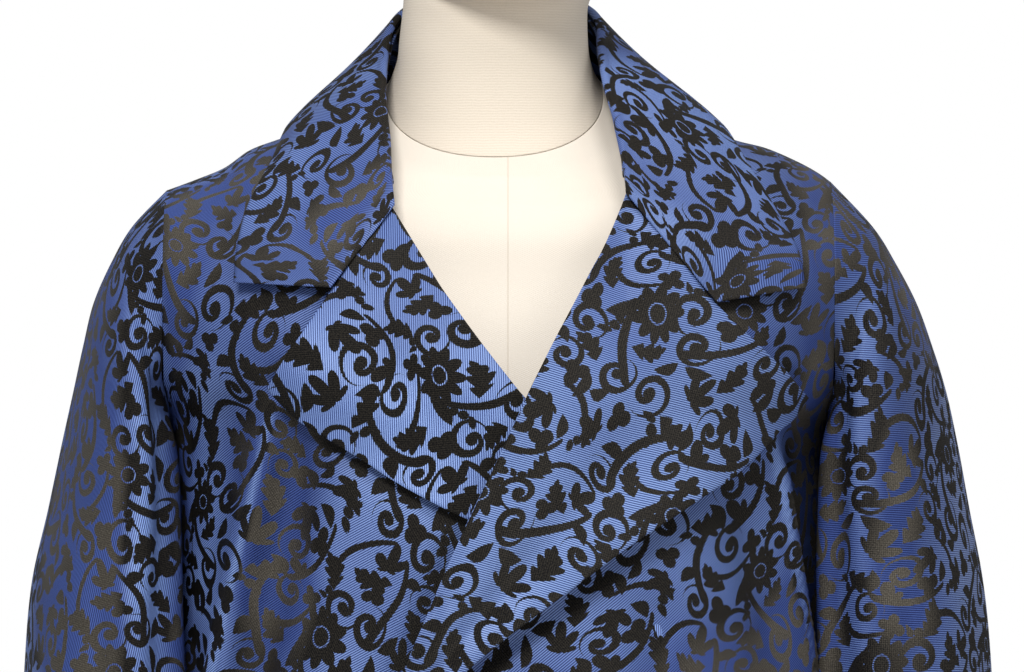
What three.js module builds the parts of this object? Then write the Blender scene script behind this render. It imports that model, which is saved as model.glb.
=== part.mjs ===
// An opera coat with a notched collar and wide lapels, wrapped left over right,
// on a limbless dress form with a pole and a round base.
// Millimetres, +Z up, the coat faces -Y. Left and right are the wearer's: left is +X.
// The origin is the centre of the base's underside.
import * as THREE from 'three';

// ---- Driving dimensions ----

const WALL = 2; // thickness of every cloth wall
const SEAM = 0.3; // clear gap between two pieces at a seam
const HEM_Z = 270;
const UNDERARM_Z = 1240;
const NECK_X = 88; // where the shoulder seam starts, beside the neck
const NECK_Z = 1432;
const NAPE_RISE = 20; // the back neckline's middle above its ends
const SIDE_SEAM_Y = 20; // the side seams lie a little behind the middle
const SHOULDER_Y = 5; // the shoulder seams' place from front to back
const SECTION_POWER = 2.3; // roundness of a horizontal section of the body
const WRAP_LIFT = 8; // how far the over front stands off the under front's surface
const LAPEL_LIFT = 3.2; // outer face of a lapel above its front, at the roll line
const LAPEL_ROLL = 4.5; // how much higher the lapel's soft roll rises
const LAPEL_EDGE = 2.4; // how much higher the lapel's free edge stands
const STAND_LIFT = 2.4; // the stand's lower edge above the neckline's face
const COLLAR_BULGE = 5; // how far the collar's fall bows out between its edges
const COLLAR_CREST = 4.6; // how far the fall's crest stands off the stand's top
const SLEEVE_FOLD = 7; // how far a sleeve's front folds in over the body's side
const FOLD_TURN = 0.85; // that fold's place round the sleeve, from its inner line to the front
const FOLD_SPREAD = 0.28;
const FOLD_Z = { top: 1238, full: 1195, fullLow: 1000, bottom: 860 };

const POLE_RADIUS = 14;
const BASE_RADIUS = 230;
const BASE_HEIGHT = 20;
const BASE_CHAMFER = 4;
const FORM_BOTTOM_Z = 800;

// Where the shoulder turns, the wrap ends and the turned-back faces lie flat or roll
const SHOULDER_EASE_Z = 1370; // above this the seams keep to SHOULDER_Y
const WRAP_FADE = { xStart: 100, xEnd: 172, zStart: 1230, zEnd: 1335 };
const ROLL_LEFT = { flatZ: 1043, fullZ: 1130 };
const ROLL_RIGHT = { flatZ: 1215, fullZ: 1290 };
const ROLL_REACH = 1.7; // the roll is back down at 1 / 1.7 of the lapel's width
const EDGE_START = 0.2; // share of the width at which the free edge starts to stand off
const NECK_AXIS = { x: -5, y: 5 }; // middle of the neck, which the collar leans away from
const COLLAR_RISE = 35; // how much of that lean is upward, against the distance outward
const COLLAR_END = 0.12; // share of the collar's length in which it flattens to its end
const END_BEND = 0.5; // how much of the notch's bend reaches along that share
const RIDGE_MARGIN = 2; // nearer the ridge than this the body gives no floor
const SLOPE_STEP = 1.5; // step over which the surface's slope is measured

// How folds grow and fade, as shares of their run
const FOLD_GROWN = 0.3;
const FOLD_FADE = { start: 2.2, end: 4.2 };
const BACK_FLARE = -0.93; // the back's flares lie opposite the front's, a little nearer the middle

const BLUE = 0x3a4f8c;
const DARK_BLUE = 0x2c3a68;
const CREAM = 0xf2e9d8;
const BRASS = 0x8d8778;
const CLOTH_ROUGHNESS = 0.55;
const COVER_ROUGHNESS = 0.9;
const METAL_ROUGHNESS = 0.4;
const METALNESS = 0.7;

// ---- Tables: each row is a section, a seam point or a fold; columns are named ----

function table(columns, rows) {
  const names = columns.split(' ');
  return rows.map((row) => Object.fromEntries(names.map((name, i) => [name, row[i]])));
}

// Depth in front of and behind the side seams, and half width to each side.
const BODY = table('z front back left right', [
  [270, 255, 222, 338, 338],
  [500, 232, 196, 292, 292],
  [700, 210, 172, 254, 254],
  [835, 196, 155, 232, 232],
  [1000, 180, 138, 205, 209],
  [1093, 173, 130, 195.5, 203],
  [1150, 170, 127, 194, 201.5],
  [1190, 169, 126, 192.5, 201],
  [1215, 168, 126, 191.5, 201],
  [1240, 168, 127, 193.7, 203.7],
  [1275, 167, 129, 214, 224],
  [1310, 165, 130, 221, 231],
  [1400, 158, 128, 224, 234],
]);

// The ridge of the shoulders, and above the neckline its even run to the middle.
const SHOULDER = table('x left right', [
  [0, 1462, 1462],
  [30, 1458, 1458],
  [66, 1443, 1443],
  [88, 1432, 1432],
  [105, 1424.5, 1424],
  [124, 1416, 1415.5],
  [138, 1410.5, 1411],
  [154, 1406.5, 1405],
  [170, 1400, 1394],
  [187, 1391, 1387],
  [206, 1376, 1380],
]);

// How far below the ridge the body reaches its full depth, and how round it turns.
const TURN = table('x frontRise frontPower backRise backPower', [
  [0, 205, 1.5, 195, 1.7],
  [66, 200, 1.5, 150, 1.8],
  [88, 184, 1.6, 130, 1.9],
  [124, 150, 1.8, 110, 2.0],
  [206, 68, 2.1, 68, 2.1],
]);
const BACK_RIDGE_RISE = 52; // the back's own ridge above NECK_Z at the centre

// The front edge from the hem to the break, the roll line, then the neckline.
// x is outward from the centre on the piece's own side, so below the wrap it is negative.
const EDGE_LEFT = table('z x', [
  [270, -82],
  [700, -78],
  [1043, -73],
  [1098, -58],
  [1128, -46],
  [1165, -31],
  [1186, -22],
  [1217, -7],
  [1257, 11],
  [1298, 32],
  [1329, 48],
  [1361, 65],
  [1376, 70],
  [1396, 76],
  [1416, 83],
  [1432, 88],
]);
const EDGE_RIGHT = table('z x', [
  [270, -104],
  [700, -100],
  [1110, -95],
  [1165, -70],
  [1214, -40],
  [1257, -11],
  [1273, 4],
  [1315, 34],
  [1347, 54],
  [1368, 67],
  [1392, 74],
  [1415, 82],
  [1432, 88],
]);

// Sharp folds that fall from the lapels down each front: x at two heights, and the size.
// The height is negative for a trough.
const FRONT_FOLDS = table('xHigh zHigh xLow zLow height width', [
  [-137, 1257, -176, 1092, 9, 12],
  [-113, 1215, -148, 1092, -6, 14],
  [155, 1243, 184, 1092, 7, 10],
  [128, 1215, 158, 1092, -4, 13],
]);

// Soft flares of the skirt: place as a share of the half width, and depth at the hem.
const FLARES = table('place height width start', [
  [-0.78, 15, 0.07, 1010],
  [-0.52, -9, 0.08, 960],
  [-0.27, 12, 0.09, 900],
  [0.08, -7, 0.1, 820],
  [0.36, 11, 0.08, 940],
  [0.6, -8, 0.07, 980],
  [0.8, 16, 0.06, 1030],
]);

// Rings of a sleeve: its inner and outer line on each side, depth each way from the middle.
const SLEEVE = table('inZ outZ inLeft outLeft inRight outRight front back middle shear', [
  [1236, 1359, 194.6, 219.5, 204.6, 225, 86, 84, 12, 0],
  [1231, 1337, 194.8, 234, 204.8, 238.5, 88, 84, 10, 0.04],
  [1224, 1313, 194.6, 247, 204.6, 249.5, 88, 82, 8, 0.08],
  [1214, 1288, 194, 256.5, 204, 256, 86, 80, 6, 0.13],
  [1200, 1261, 193.2, 265, 203, 262, 84, 78, 4, 0.18],
  [1180, 1229, 192.6, 272, 202.4, 269, 82, 76, 2, 0.22],
  [1152, 1190, 192, 279, 201.5, 277, 80, 74, 0, 0.25],
  [1118, 1146, 192, 287, 200.5, 286.5, 78, 72, -3, 0.25],
  [1080, 1098, 193, 291.5, 199.5, 290.5, 76, 71, -6, 0.25],
  [1020, 1028, 203, 294, 207, 293, 74, 69, -10, 0.22],
  [955, 960, 219, 299, 221, 298, 71, 67, -15, 0.18],
  [895, 897, 232, 305, 233, 304, 68, 65, -20, 0.15],
  [840, 840, 242, 310, 243, 310, 66, 64, -25, 0.12],
]);
const SLEEVE_POWER = 2.3;

// A lapel row by row from the break up to the notch seam: roll line to free edge.
const LAPEL_LEFT = table('rollX rollZ edgeX edgeZ', [
  [-72, 1047, -67, 1049],
  [-66, 1068, -48, 1070],
  [-58, 1098, -25, 1094],
  [-46, 1128, -6, 1111],
  [-31, 1165, 35, 1144],
  [-14, 1202, 67, 1170],
  [1, 1235, 99, 1193],
  [20, 1275, 124, 1212],
  [40, 1314, 143, 1230],
  [57, 1346, 156, 1245],
  [70, 1376, 169, 1263],
]);
const LAPEL_RIGHT = table('rollX rollZ edgeX edgeZ', [
  [-94, 1113, -89, 1113],
  [-84, 1137, -62, 1136],
  [-70, 1165, -28, 1160],
  [-48, 1202, 6, 1178],
  [-25, 1239, 36, 1192],
  [-3, 1266, 62, 1206],
  [18, 1293, 85, 1221],
  [38, 1321, 104, 1233],
  [54, 1347, 121, 1245],
  [67, 1368, 136, 1265],
]);
const NOTCH_LEFT = { x: 121.5, z: 1311 };
const NOTCH_RIGHT = { x: 103, z: 1319 };
const NOTCH_STEPS = 4; // grid steps from the roll line to the notch, and on to the tip

// The collar, station by station from a front end to the nape: the fold's crest, the
// fall's free edge on the body, and the seam at the neckline. behind is 1 on the back.
const COLLAR_COLUMNS = 'foldX foldY foldZ edgeX edgeZ seamX seamZ behind';
const COLLAR_LEFT = table(COLLAR_COLUMNS, [
  [70, -93, 1377, 172, 1321, 71, 1379, 0],
  [69, -79, 1394, 169, 1341, 76, 1394, 0],
  [65, -54, 1420, 158, 1362, 82, 1413, 0],
  [58.5, -30, 1442, 144, 1386, 86, 1426, 0],
  [55, 0, 1462, 125, 1414, 88, 1432, 0],
  [53, 30, 1480, 108, 1408, 80, 1436, 1],
  [43, 54, 1490, 84, 1402, 60, 1442, 1],
  [22, 70, 1496, 46, 1398, 32, 1449, 1],
]);
const COLLAR_RIGHT = table(COLLAR_COLUMNS, [
  [66, -95, 1370, 158, 1323, 68, 1374, 0],
  [69, -81, 1391, 157, 1340, 74, 1393, 0],
  [72, -54, 1412, 152, 1364, 82, 1413, 0],
  [73.5, -30, 1434, 139, 1390, 86, 1426, 0],
  [72, 0, 1457, 126, 1415, 88, 1432, 0],
  [67, 28, 1477, 112, 1408, 80, 1436, 1],
  [54, 52, 1490, 88, 1402, 60, 1442, 1],
  [31, 69, 1496, 48, 1398, 32, 1449, 1],
]);
const NAPE = { foldX: -4, foldY: 76, foldZ: 1498, edgeX: 0, edgeZ: 1396, seamX: 0, seamZ: 1452 };

// Rings of the dress form: height at its middle, how its front and its back climb away
// from there, half width, depth each way, how far its middle lies to the wearer's left,
// and how far it turns that way.
const FORM_COLUMNS = 'z frontTilt backTilt half front back across turn';
const TORSO = table(FORM_COLUMNS, [
  [800, 0, 0, 150, 106, 112, 0, 0],
  [812, 0, 0, 158, 112, 118, 0, 0],
  [860, 0, 0, 170, 119, 128, 0, 0],
  [940, 0, 0, 158, 108, 118, 0, 0],
  [1030, 0, 0, 128, 92, 92, 0, 0],
  [1120, 0, 0, 143, 108, 100, 0, 0],
  [1190, 0, 0, 156, 126, 106, 0, 0],
  [1240, 0, 0, 162, 133, 110, 0, 0],
  [1290, 0, 0, 168, 122, 113, 0, 0],
  [1330, 0.03, 0, 171, 108, 110, 0, 0],
  [1362, 0.1, -0.02, 170, 100, 102, 0, 0],
  [1386, 0.2, -0.05, 163, 90, 92, -1, 0],
  [1400.5, 0.3, -0.08, 149, 80, 82, -2, 0],
  [1410, 0.38, -0.08, 127, 74, 70, -3, 0],
  [1417.5, 0.45, -0.06, 106, 69, 60, -4, 0],
  [1425, 0.52, 0, 86, 67, 52, -6, 0],
  [1431, 0.56, 0.3, 75, 65, 50, -7, 0],
  [1437, 0.6, 0.6, 65.5, 63, 53, -7.5, 0],
]);
const NECK_HEAD = table(FORM_COLUMNS, [
  [1437.4, 0.6, 0.6, 65.2, 62.8, 52.8, -7.5, 0],
  [1446, 0.52, 0.5, 61.5, 59, 53, -8, 0],
  [1458, 0.36, 0.35, 58, 57, 54, -8, 0],
  [1472, 0.18, 0.18, 56.5, 56, 55, -8, 0],
  [1490, 0.05, 0.08, 55.5, 55, 58, -7, 0],
  [1499, 0.04, 0.1, 57, 58, 61, -5, 0.04],
  [1510, 0.18, 0.2, 60, 80, 64, -2, 0.12],
  [1522, 0.2, 0.25, 63, 90, 68, 0, 0.12],
  [1545, 0.12, 0.2, 68, 97, 78, 2, 0.12],
  [1585, 0.04, 0.08, 74, 100, 91, 3, 0.12],
  [1630, 0, 0, 76, 98, 97, 4, 0.12],
  [1670, 0, 0, 68, 84, 90, 4, 0.12],
  [1697, 0, 0, 48, 60, 66, 4, 0.12],
  [1710, 0, 0, 22, 28, 32, 4, 0.12],
]);
const FORM_POWER = 2.2;

// Grid sizes
const FRONT_COLUMNS = 18;
const BACK_COLUMNS = 26;
const SKIRT_HEIGHTS = [
  HEM_Z, 345, 430, 520, 610, 700, 790, 870, 945, 1010, 1065, 1110, 1150, 1190, 1216, UNDERARM_Z,
];
const UPPER_ROWS = 9; // rows from the underarm to the shoulder seam
const UPPER_POWER = 1.8; // how much closer those rows stand near the seam
const FRONT_EASE = 0.75; // how much closer a front's columns stand at the side seam
const BACK_EASE = 0.8; // and the back's at both
const RING_SIDES = 20;
const COLLAR_STEPS = 26;
const STAND_STEPS = 2;
const FORM_SIDES = 28;
const LATHE_SIDES = 40;

// ---- Small maths ----

function ramp(from, to, at) {
  const t = Math.min(1, Math.max(0, (at - from) / (to - from)));
  return t * t * (3 - 2 * t);
}

function mix(a, b, t) {
  return a + (b - a) * t;
}

// A smooth curve through a column of a table that never overshoots its rows.
function smooth(rows, key, column, at) {
  const last = rows.length - 1;
  const clamped = Math.min(rows[last][key], Math.max(rows[0][key], at));
  let i = 0;
  while (i < last - 1 && clamped > rows[i + 1][key]) {
    i += 1;
  }
  const slope = (j) => (rows[j + 1][column] - rows[j][column]) / (rows[j + 1][key] - rows[j][key]);
  const tangent = (j) => {
    const before = slope(Math.max(0, j - 1));
    const after = slope(Math.min(last - 1, j));
    return before * after <= 0 ? 0 : (2 * before * after) / (before + after);
  };
  const span = rows[i + 1][key] - rows[i][key];
  const t = (clamped - rows[i][key]) / span;
  const a = rows[i][column];
  const b = rows[i + 1][column];
  const rise = t * t * (3 - 2 * t);
  const leave = span * tangent(i) * t * (1 - t) * (1 - t);
  const arrive = span * tangent(i + 1) * t * t * (t - 1);
  return mix(a, b, rise) + leave + arrive;
}

function roundOff(share, power) {
  const s = Math.min(1, Math.max(0, share));
  return Math.pow(1 - Math.pow(s, power), 1 / power);
}

// ---- The body's surface ----

function seamY(z) {
  return mix(SIDE_SEAM_Y, SHOULDER_Y, ramp(UNDERARM_Z, SHOULDER_EASE_Z, z));
}

function sideOf(x) {
  return x < 0 ? 'right' : 'left';
}

function ridgeZ(x, behind) {
  const reach = Math.abs(x);
  if (behind && reach < NECK_X) {
    return NECK_Z + BACK_RIDGE_RISE * (1 - (reach / NECK_X) ** 2);
  }
  return smooth(SHOULDER, 'x', sideOf(x), reach);
}

function foldDepth(x, z, behind) {
  const halfWidth = smooth(BODY, 'z', sideOf(x), z);
  let depth = 0;
  for (const flare of FLARES) {
    const place = behind ? BACK_FLARE * flare.place : flare.place;
    const across = (x / halfWidth - place) / flare.width;
    const grown = ramp(flare.start, HEM_Z, z);
    depth += flare.height * grown * Math.exp(-across * across);
  }
  if (behind) {
    return depth;
  }
  for (const fold of FRONT_FOLDS) {
    const t = (fold.zHigh - z) / (fold.zHigh - fold.zLow);
    const across = (x - mix(fold.xHigh, fold.xLow, t)) / fold.width;
    const strength = ramp(0, FOLD_GROWN, t) * (1 - ramp(FOLD_FADE.start, FOLD_FADE.end, t));
    depth += fold.height * strength * Math.exp(-across * across);
  }
  return depth;
}

// y of the cloth's outer face at x and z, on the front or the back.
function bodyY(x, z, behind) {
  const side = sideOf(x);
  const reach = Math.abs(x);
  const halfWidth = smooth(BODY, 'z', side, z);
  const full = smooth(BODY, 'z', behind ? 'back' : 'front', z);
  const rise = smooth(TURN, 'x', behind ? 'backRise' : 'frontRise', reach);
  const power = smooth(TURN, 'x', behind ? 'backPower' : 'frontPower', reach);
  const below = (ridgeZ(x, behind) - z) / rise;
  const turned = roundOff(1 - Math.min(1, Math.max(0, below)), power);
  const across = roundOff(reach / halfWidth, SECTION_POWER);
  const depth = (full + foldDepth(x, z, behind)) * across * turned;
  return seamY(z) + (behind ? depth : -depth);
}

const SIGN = { left: 1, right: -1 };
const ARM_X = { left: 194, right: 204 };

// A point of the body's face, moved out along its normal by `out`.
// seam is 'side' or 'shoulder' on that seam, where the normal has no y, and else empty.
function bodyPoint(x, z, behind, out, seam) {
  const step = SLOPE_STEP * (x < 0 ? -1 : 1);
  const y = bodyY(x, z, behind);
  const slopeX = (y - bodyY(x - step, z, behind)) / step;
  const slopeZ = (y - bodyY(x, z - SLOPE_STEP, behind)) / SLOPE_STEP;
  const facing = behind ? 1 : -1;
  const normal = new THREE.Vector3(-slopeX * facing, facing, -slopeZ * facing);
  if (seam === 'shoulder') {
    normal.set(-(ridgeZ(x + 1, false) - ridgeZ(x - 1, false)) / 2, 0, 1);
  }
  if (seam === 'side') {
    normal.set(Math.sign(x), 0, 0);
  }
  normal.normalize().multiplyScalar(out);
  return new THREE.Vector3(x + normal.x, y + normal.y, z + normal.z);
}

// ---- Solids from grids ----

function meshFrom(name, points, faces, colour, roughness) {
  const geometry = new THREE.BufferGeometry();
  const flat = points.flatMap((p) => [p.x, p.y, p.z]);
  geometry.setAttribute('position', new THREE.Float32BufferAttribute(flat, 3));
  let volume = 0;
  for (const [a, b, c] of faces) {
    volume += points[a].dot(new THREE.Vector3().crossVectors(points[b], points[c]));
  }
  const outward = volume > 0 ? faces : faces.map(([a, b, c]) => [a, c, b]);
  geometry.setIndex(outward.flat());
  geometry.computeVertexNormals();
  const material = new THREE.MeshStandardMaterial({ color: colour, roughness, metalness: 0 });
  const mesh = new THREE.Mesh(geometry, material);
  mesh.name = name;
  return mesh;
}

// A closed wall between two grids of points with the same rows and columns.
// A ring's rows close on themselves.
function wall(name, outer, inner, ring, colour) {
  const rows = outer.length;
  const columns = outer[0].length;
  const points = [...outer.flat(), ...inner.flat()];
  const faces = [];
  const at = (face, row, column) => (face * rows + row) * columns + (column % columns);
  const quad = (a, b, c, d) => faces.push([a, b, c], [a, c, d]);
  const spans = ring ? columns : columns - 1;
  for (let r = 0; r < rows - 1; r += 1) {
    for (let c = 0; c < spans; c += 1) {
      quad(at(0, r, c), at(0, r, c + 1), at(0, r + 1, c + 1), at(0, r + 1, c));
      quad(at(1, r, c), at(1, r + 1, c), at(1, r + 1, c + 1), at(1, r, c + 1));
    }
  }
  for (let c = 0; c < spans; c += 1) {
    quad(at(0, 0, c), at(1, 0, c), at(1, 0, c + 1), at(0, 0, c + 1));
    quad(at(0, rows - 1, c), at(0, rows - 1, c + 1), at(1, rows - 1, c + 1), at(1, rows - 1, c));
  }
  for (let r = 0; r < rows - 1 && !ring; r += 1) {
    quad(at(0, r, 0), at(0, r + 1, 0), at(1, r + 1, 0), at(1, r, 0));
    const end = columns - 1;
    quad(at(0, r, end), at(1, r, end), at(1, r + 1, end), at(0, r + 1, end));
  }
  return meshFrom(name, points, faces, colour, CLOTH_ROUGHNESS);
}

// A filled solid through closed rings, with a point at the middle of each end.
function lofted(name, rings, colour) {
  const sides = rings[0].length;
  const points = rings.flat();
  const faces = [];
  const middle = (ring) => ring.reduce((sum, p) => sum.clone().add(p)).divideScalar(sides);
  for (let r = 0; r < rings.length - 1; r += 1) {
    for (let s = 0; s < sides; s += 1) {
      const next = (s + 1) % sides;
      const low = r * sides;
      const high = low + sides;
      faces.push([low + s, low + next, high + next], [low + s, high + next, high + s]);
    }
  }
  const bottom = points.push(middle(rings[0])) - 1;
  const top = points.push(middle(rings[rings.length - 1])) - 1;
  const lastRing = (rings.length - 1) * sides;
  for (let s = 0; s < sides; s += 1) {
    const next = (s + 1) % sides;
    faces.push([bottom, next, s], [top, lastRing + s, lastRing + next]);
  }
  return meshFrom(name, points, faces, colour, COVER_ROUGHNESS);
}

// ---- Fronts and back ----

// How far the over front is held off the body's face by the front under it.
function wrapLift(x, z) {
  const beyond = 1 - ramp(WRAP_FADE.xStart, WRAP_FADE.xEnd, x);
  const above = 1 - ramp(WRAP_FADE.zStart, WRAP_FADE.zEnd, z);
  return WRAP_LIFT * beyond * above;
}

function frontGrid(side, edge, liftOf, depthIn) {
  const grid = [];
  const outerX = ARM_X[side] - SEAM / 2;
  const ease = (u) => mix(u, Math.sin((Math.PI / 2) * u), FRONT_EASE);
  const pushRow = (pointAt) => {
    const row = [];
    for (let c = 0; c <= FRONT_COLUMNS; c += 1) {
      row.push(pointAt(ease(c / FRONT_COLUMNS), c === FRONT_COLUMNS));
    }
    grid.push(row);
  };
  for (const z of SKIRT_HEIGHTS) {
    const inX = smooth(edge, 'z', 'x', z);
    const outX = smooth(BODY, 'z', side, z);
    pushRow((u, last) => {
      const x = SIGN[side] * mix(inX, outX, u);
      const point = bodyPoint(x, z, false, liftOf(x, z) - depthIn, last ? 'side' : '');
      point.y -= last ? SEAM / 2 : 0;
      return point;
    });
  }
  for (let r = 1; r <= UPPER_ROWS; r += 1) {
    const up = 1 - (1 - r / UPPER_ROWS) ** UPPER_POWER;
    const topRow = r === UPPER_ROWS;
    const inX = smooth(edge, 'z', 'x', mix(UNDERARM_Z, NECK_Z, up));
    pushRow((u) => {
      const x = SIGN[side] * mix(inX, outerX, u);
      const top = Math.min(NECK_Z, ridgeZ(x, false));
      const z = mix(UNDERARM_Z, top, up);
      const point = bodyPoint(x, z, false, liftOf(x, z) - depthIn, topRow ? 'shoulder' : '');
      point.y -= topRow ? SEAM / 2 : 0;
      return point;
    });
  }
  return grid;
}

function backGrid(depthIn) {
  const grid = [];
  const ease = (u) => mix(u, (1 - Math.cos(Math.PI * u)) / 2, BACK_EASE);
  const pushRow = (reachOf, heightAt, row) => {
    const line = [];
    for (let c = 0; c <= BACK_COLUMNS; c += 1) {
      const x = mix(-reachOf('right'), reachOf('left'), ease(c / BACK_COLUMNS));
      const end = c === 0 || c === BACK_COLUMNS;
      const seam = row === 'top' && Math.abs(x) > NECK_X ? 'shoulder' : '';
      const onSeam = end && row === 'skirt' ? 'side' : seam;
      const point = bodyPoint(x, heightAt(x), true, -depthIn, onSeam);
      point.y += onSeam ? SEAM / 2 : 0;
      line.push(point);
    }
    grid.push(line);
  };
  for (const z of SKIRT_HEIGHTS) {
    pushRow((side) => smooth(BODY, 'z', side, z), () => z, 'skirt');
  }
  for (let r = 1; r <= UPPER_ROWS; r += 1) {
    const up = 1 - (1 - r / UPPER_ROWS) ** UPPER_POWER;
    const heightAt = (x) => {
      const nape = NECK_Z + NAPE_RISE * (1 - (x / NECK_X) ** 2);
      const top = Math.abs(x) < NECK_X ? nape : ridgeZ(x, true);
      return mix(UNDERARM_Z, top, up);
    };
    pushRow((side) => ARM_X[side] - SEAM / 2, heightAt, r === UPPER_ROWS ? 'top' : 'upper');
  }
  return grid;
}

// ---- Sleeves ----

// The armhole edge of the body, from the underarm up the front and down the back.
function armRing(side) {
  const ring = [];
  const x = ARM_X[side] + SEAM / 2;
  const topZ = ridgeZ(SIGN[side] * x, false);
  for (let s = 0; s < RING_SIDES; s += 1) {
    const turn = (2 * Math.PI * s) / RING_SIDES;
    const z = mix(UNDERARM_Z, topZ, (1 - Math.cos(turn)) / 2);
    ring.push(new THREE.Vector3(x, bodyY(SIGN[side] * x, z, turn > Math.PI), z));
  }
  return ring;
}

function sleeveRing(side, row) {
  const name = side === 'left' ? 'Left' : 'Right';
  const inX = row[`in${name}`];
  const outX = row[`out${name}`];
  const ring = [];
  for (let s = 0; s < RING_SIDES; s += 1) {
    const turn = (2 * Math.PI * s) / RING_SIDES;
    const across = Math.sign(Math.cos(turn)) * Math.abs(Math.cos(turn)) ** (2 / SLEEVE_POWER);
    const along = Math.sign(Math.sin(turn)) * Math.abs(Math.sin(turn)) ** (2 / SLEEVE_POWER);
    const depth = along > 0 ? row.front : row.back;
    const y = row.middle - depth * along;
    const share = (1 - across) / 2;
    ring.push({ share, y, slide: row.shear * (y - row.middle) });
  }
  const raw = ring.map((p) => mix(inX, outX, p.share) + p.slide);
  const low = Math.min(...raw);
  const high = Math.max(...raw);
  return ring.map((p, i) => {
    const x = mix(inX, outX, (raw[i] - low) / (high - low));
    return new THREE.Vector3(x, p.y, mix(row.inZ, row.outZ, p.share));
  });
}

// The sleeve's front leans in over the body's side, most at FOLD_TURN round the ring.
function foldedIn(point, turn) {
  const near = Math.exp(-(((turn - FOLD_TURN) / FOLD_SPREAD) ** 2));
  const height = ramp(FOLD_Z.top, FOLD_Z.full, point.z) * ramp(FOLD_Z.bottom, FOLD_Z.fullLow, point.z);
  return new THREE.Vector3(point.x - SLEEVE_FOLD * near * height, point.y, point.z);
}

function sleeve(side, name, colour) {
  const straight = [armRing(side), ...SLEEVE.map((row) => sleeveRing(side, row))];
  const turnOf = (s) => (2 * Math.PI * s) / RING_SIDES;
  const rings = straight.map((ring) => ring.map((point, s) => foldedIn(point, turnOf(s))));
  const inner = rings.map((ring, r) => ring.map((point, s) => {
    const ahead = rings[Math.min(rings.length - 1, r + 1)][s];
    const behind = rings[Math.max(0, r - 1)][s];
    const next = ring[(s + 1) % RING_SIDES];
    const before = ring[(s + RING_SIDES - 1) % RING_SIDES];
    const along = ahead.clone().sub(behind);
    const around = next.clone().sub(before);
    const normal = along.cross(around);
    if (r === 0) {
      normal.x = 0;
    }
    return point.clone().sub(normal.normalize().multiplyScalar(WALL));
  }));
  const mirrored = (p) => new THREE.Vector3(SIGN[side] * p.x, p.y, p.z);
  const placed = (grid) => grid.map((ring) => ring.map(mirrored));
  return wall(name, placed(rings), placed(inner), true, colour);
}

// ---- Lapels and collar ----

function lapelShares(notch, top) {
  const before = Math.hypot(notch.x - top.rollX, notch.z - top.rollZ);
  const after = Math.hypot(top.edgeX - notch.x, top.edgeZ - notch.z);
  const notchShare = before / (before + after);
  const shares = [];
  for (let i = 0; i <= 2 * NOTCH_STEPS; i += 1) {
    const inside = i <= NOTCH_STEPS;
    const t = inside ? i / NOTCH_STEPS : i / NOTCH_STEPS - 1;
    shares.push(inside ? notchShare * t : mix(notchShare, 1, t));
  }
  return shares;
}

// Height of a turned-back face above the front under it, from the roll to the free edge.
function turnedLift(step, rolled) {
  const t = step / (2 * NOTCH_STEPS);
  const roll = LAPEL_ROLL * Math.sin(Math.PI * Math.min(1, t * ROLL_REACH)) ** 2;
  return LAPEL_LIFT + rolled * (roll + LAPEL_EDGE * ramp(EDGE_START, 1, t));
}

function lapel(side, name, rows, notch, liftOf, roll, colour) {
  const top = rows[rows.length - 1];
  const shares = lapelShares(notch, top);
  const grid = (depthIn) => rows.map((row, r) => shares.map((share, i) => {
    const bend = ramp(rows.length - 3, rows.length - 1, r);
    const onLine = { x: mix(row.rollX, row.edgeX, share), z: mix(row.rollZ, row.edgeZ, share) };
    const notchPull = bend * (1 - Math.abs(i / NOTCH_STEPS - 1));
    const notchShare = shares[NOTCH_STEPS];
    const x = onLine.x + notchPull * (notch.x - mix(top.rollX, top.edgeX, notchShare));
    const z = onLine.z + notchPull * (notch.z - mix(top.rollZ, top.edgeZ, notchShare));
    const rolled = ramp(roll.flatZ, roll.fullZ, z);
    const lift = liftOf(SIGN[side] * x, z) + turnedLift(i, rolled);
    return bodyPoint(SIGN[side] * x, z, false, lift - depthIn, '');
  }));
  return wall(name, grid(0), grid(WALL), false, colour);
}

function collarCurves() {
  const curves = {};
  const order = [
    ...COLLAR_RIGHT.map((row) => ({ ...row, side: 'right' })),
    { ...NAPE, behind: 1, side: 'left' },
    ...[...COLLAR_LEFT].reverse().map((row) => ({ ...row, side: 'left' })),
  ];
  const curve = (make) => new THREE.CatmullRomCurve3(order.map(make), false, 'centripetal');
  curves.fold = curve((row) => new THREE.Vector3(SIGN[row.side] * row.foldX, row.foldY, row.foldZ));
  const onBody = (row, x, z, lift) => bodyPoint(SIGN[row.side] * x, z, row.behind === 1, lift, '');
  curves.edge = curve((row) => onBody(row, row.edgeX, row.edgeZ, LAPEL_LIFT + LAPEL_EDGE));
  curves.seam = curve((row) => onBody(row, row.seamX, row.seamZ, STAND_LIFT));
  return curves;
}

// Keep a point of the collar at least `lift` above the body's face under it.
function clearOfBody(point, lift) {
  const behind = point.y > seamY(point.z);
  if (point.z > ridgeZ(point.x, behind) - RIDGE_MARGIN) {
    return point;
  }
  const floor = bodyPoint(point.x, point.z, behind, lift, '');
  const inside = behind ? point.y < floor.y : point.y > floor.y;
  return inside ? floor : point;
}

function outFromNeck(point) {
  return new THREE.Vector3(point.x - NECK_AXIS.x, point.y - NECK_AXIS.y, COLLAR_RISE).normalize();
}

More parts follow.
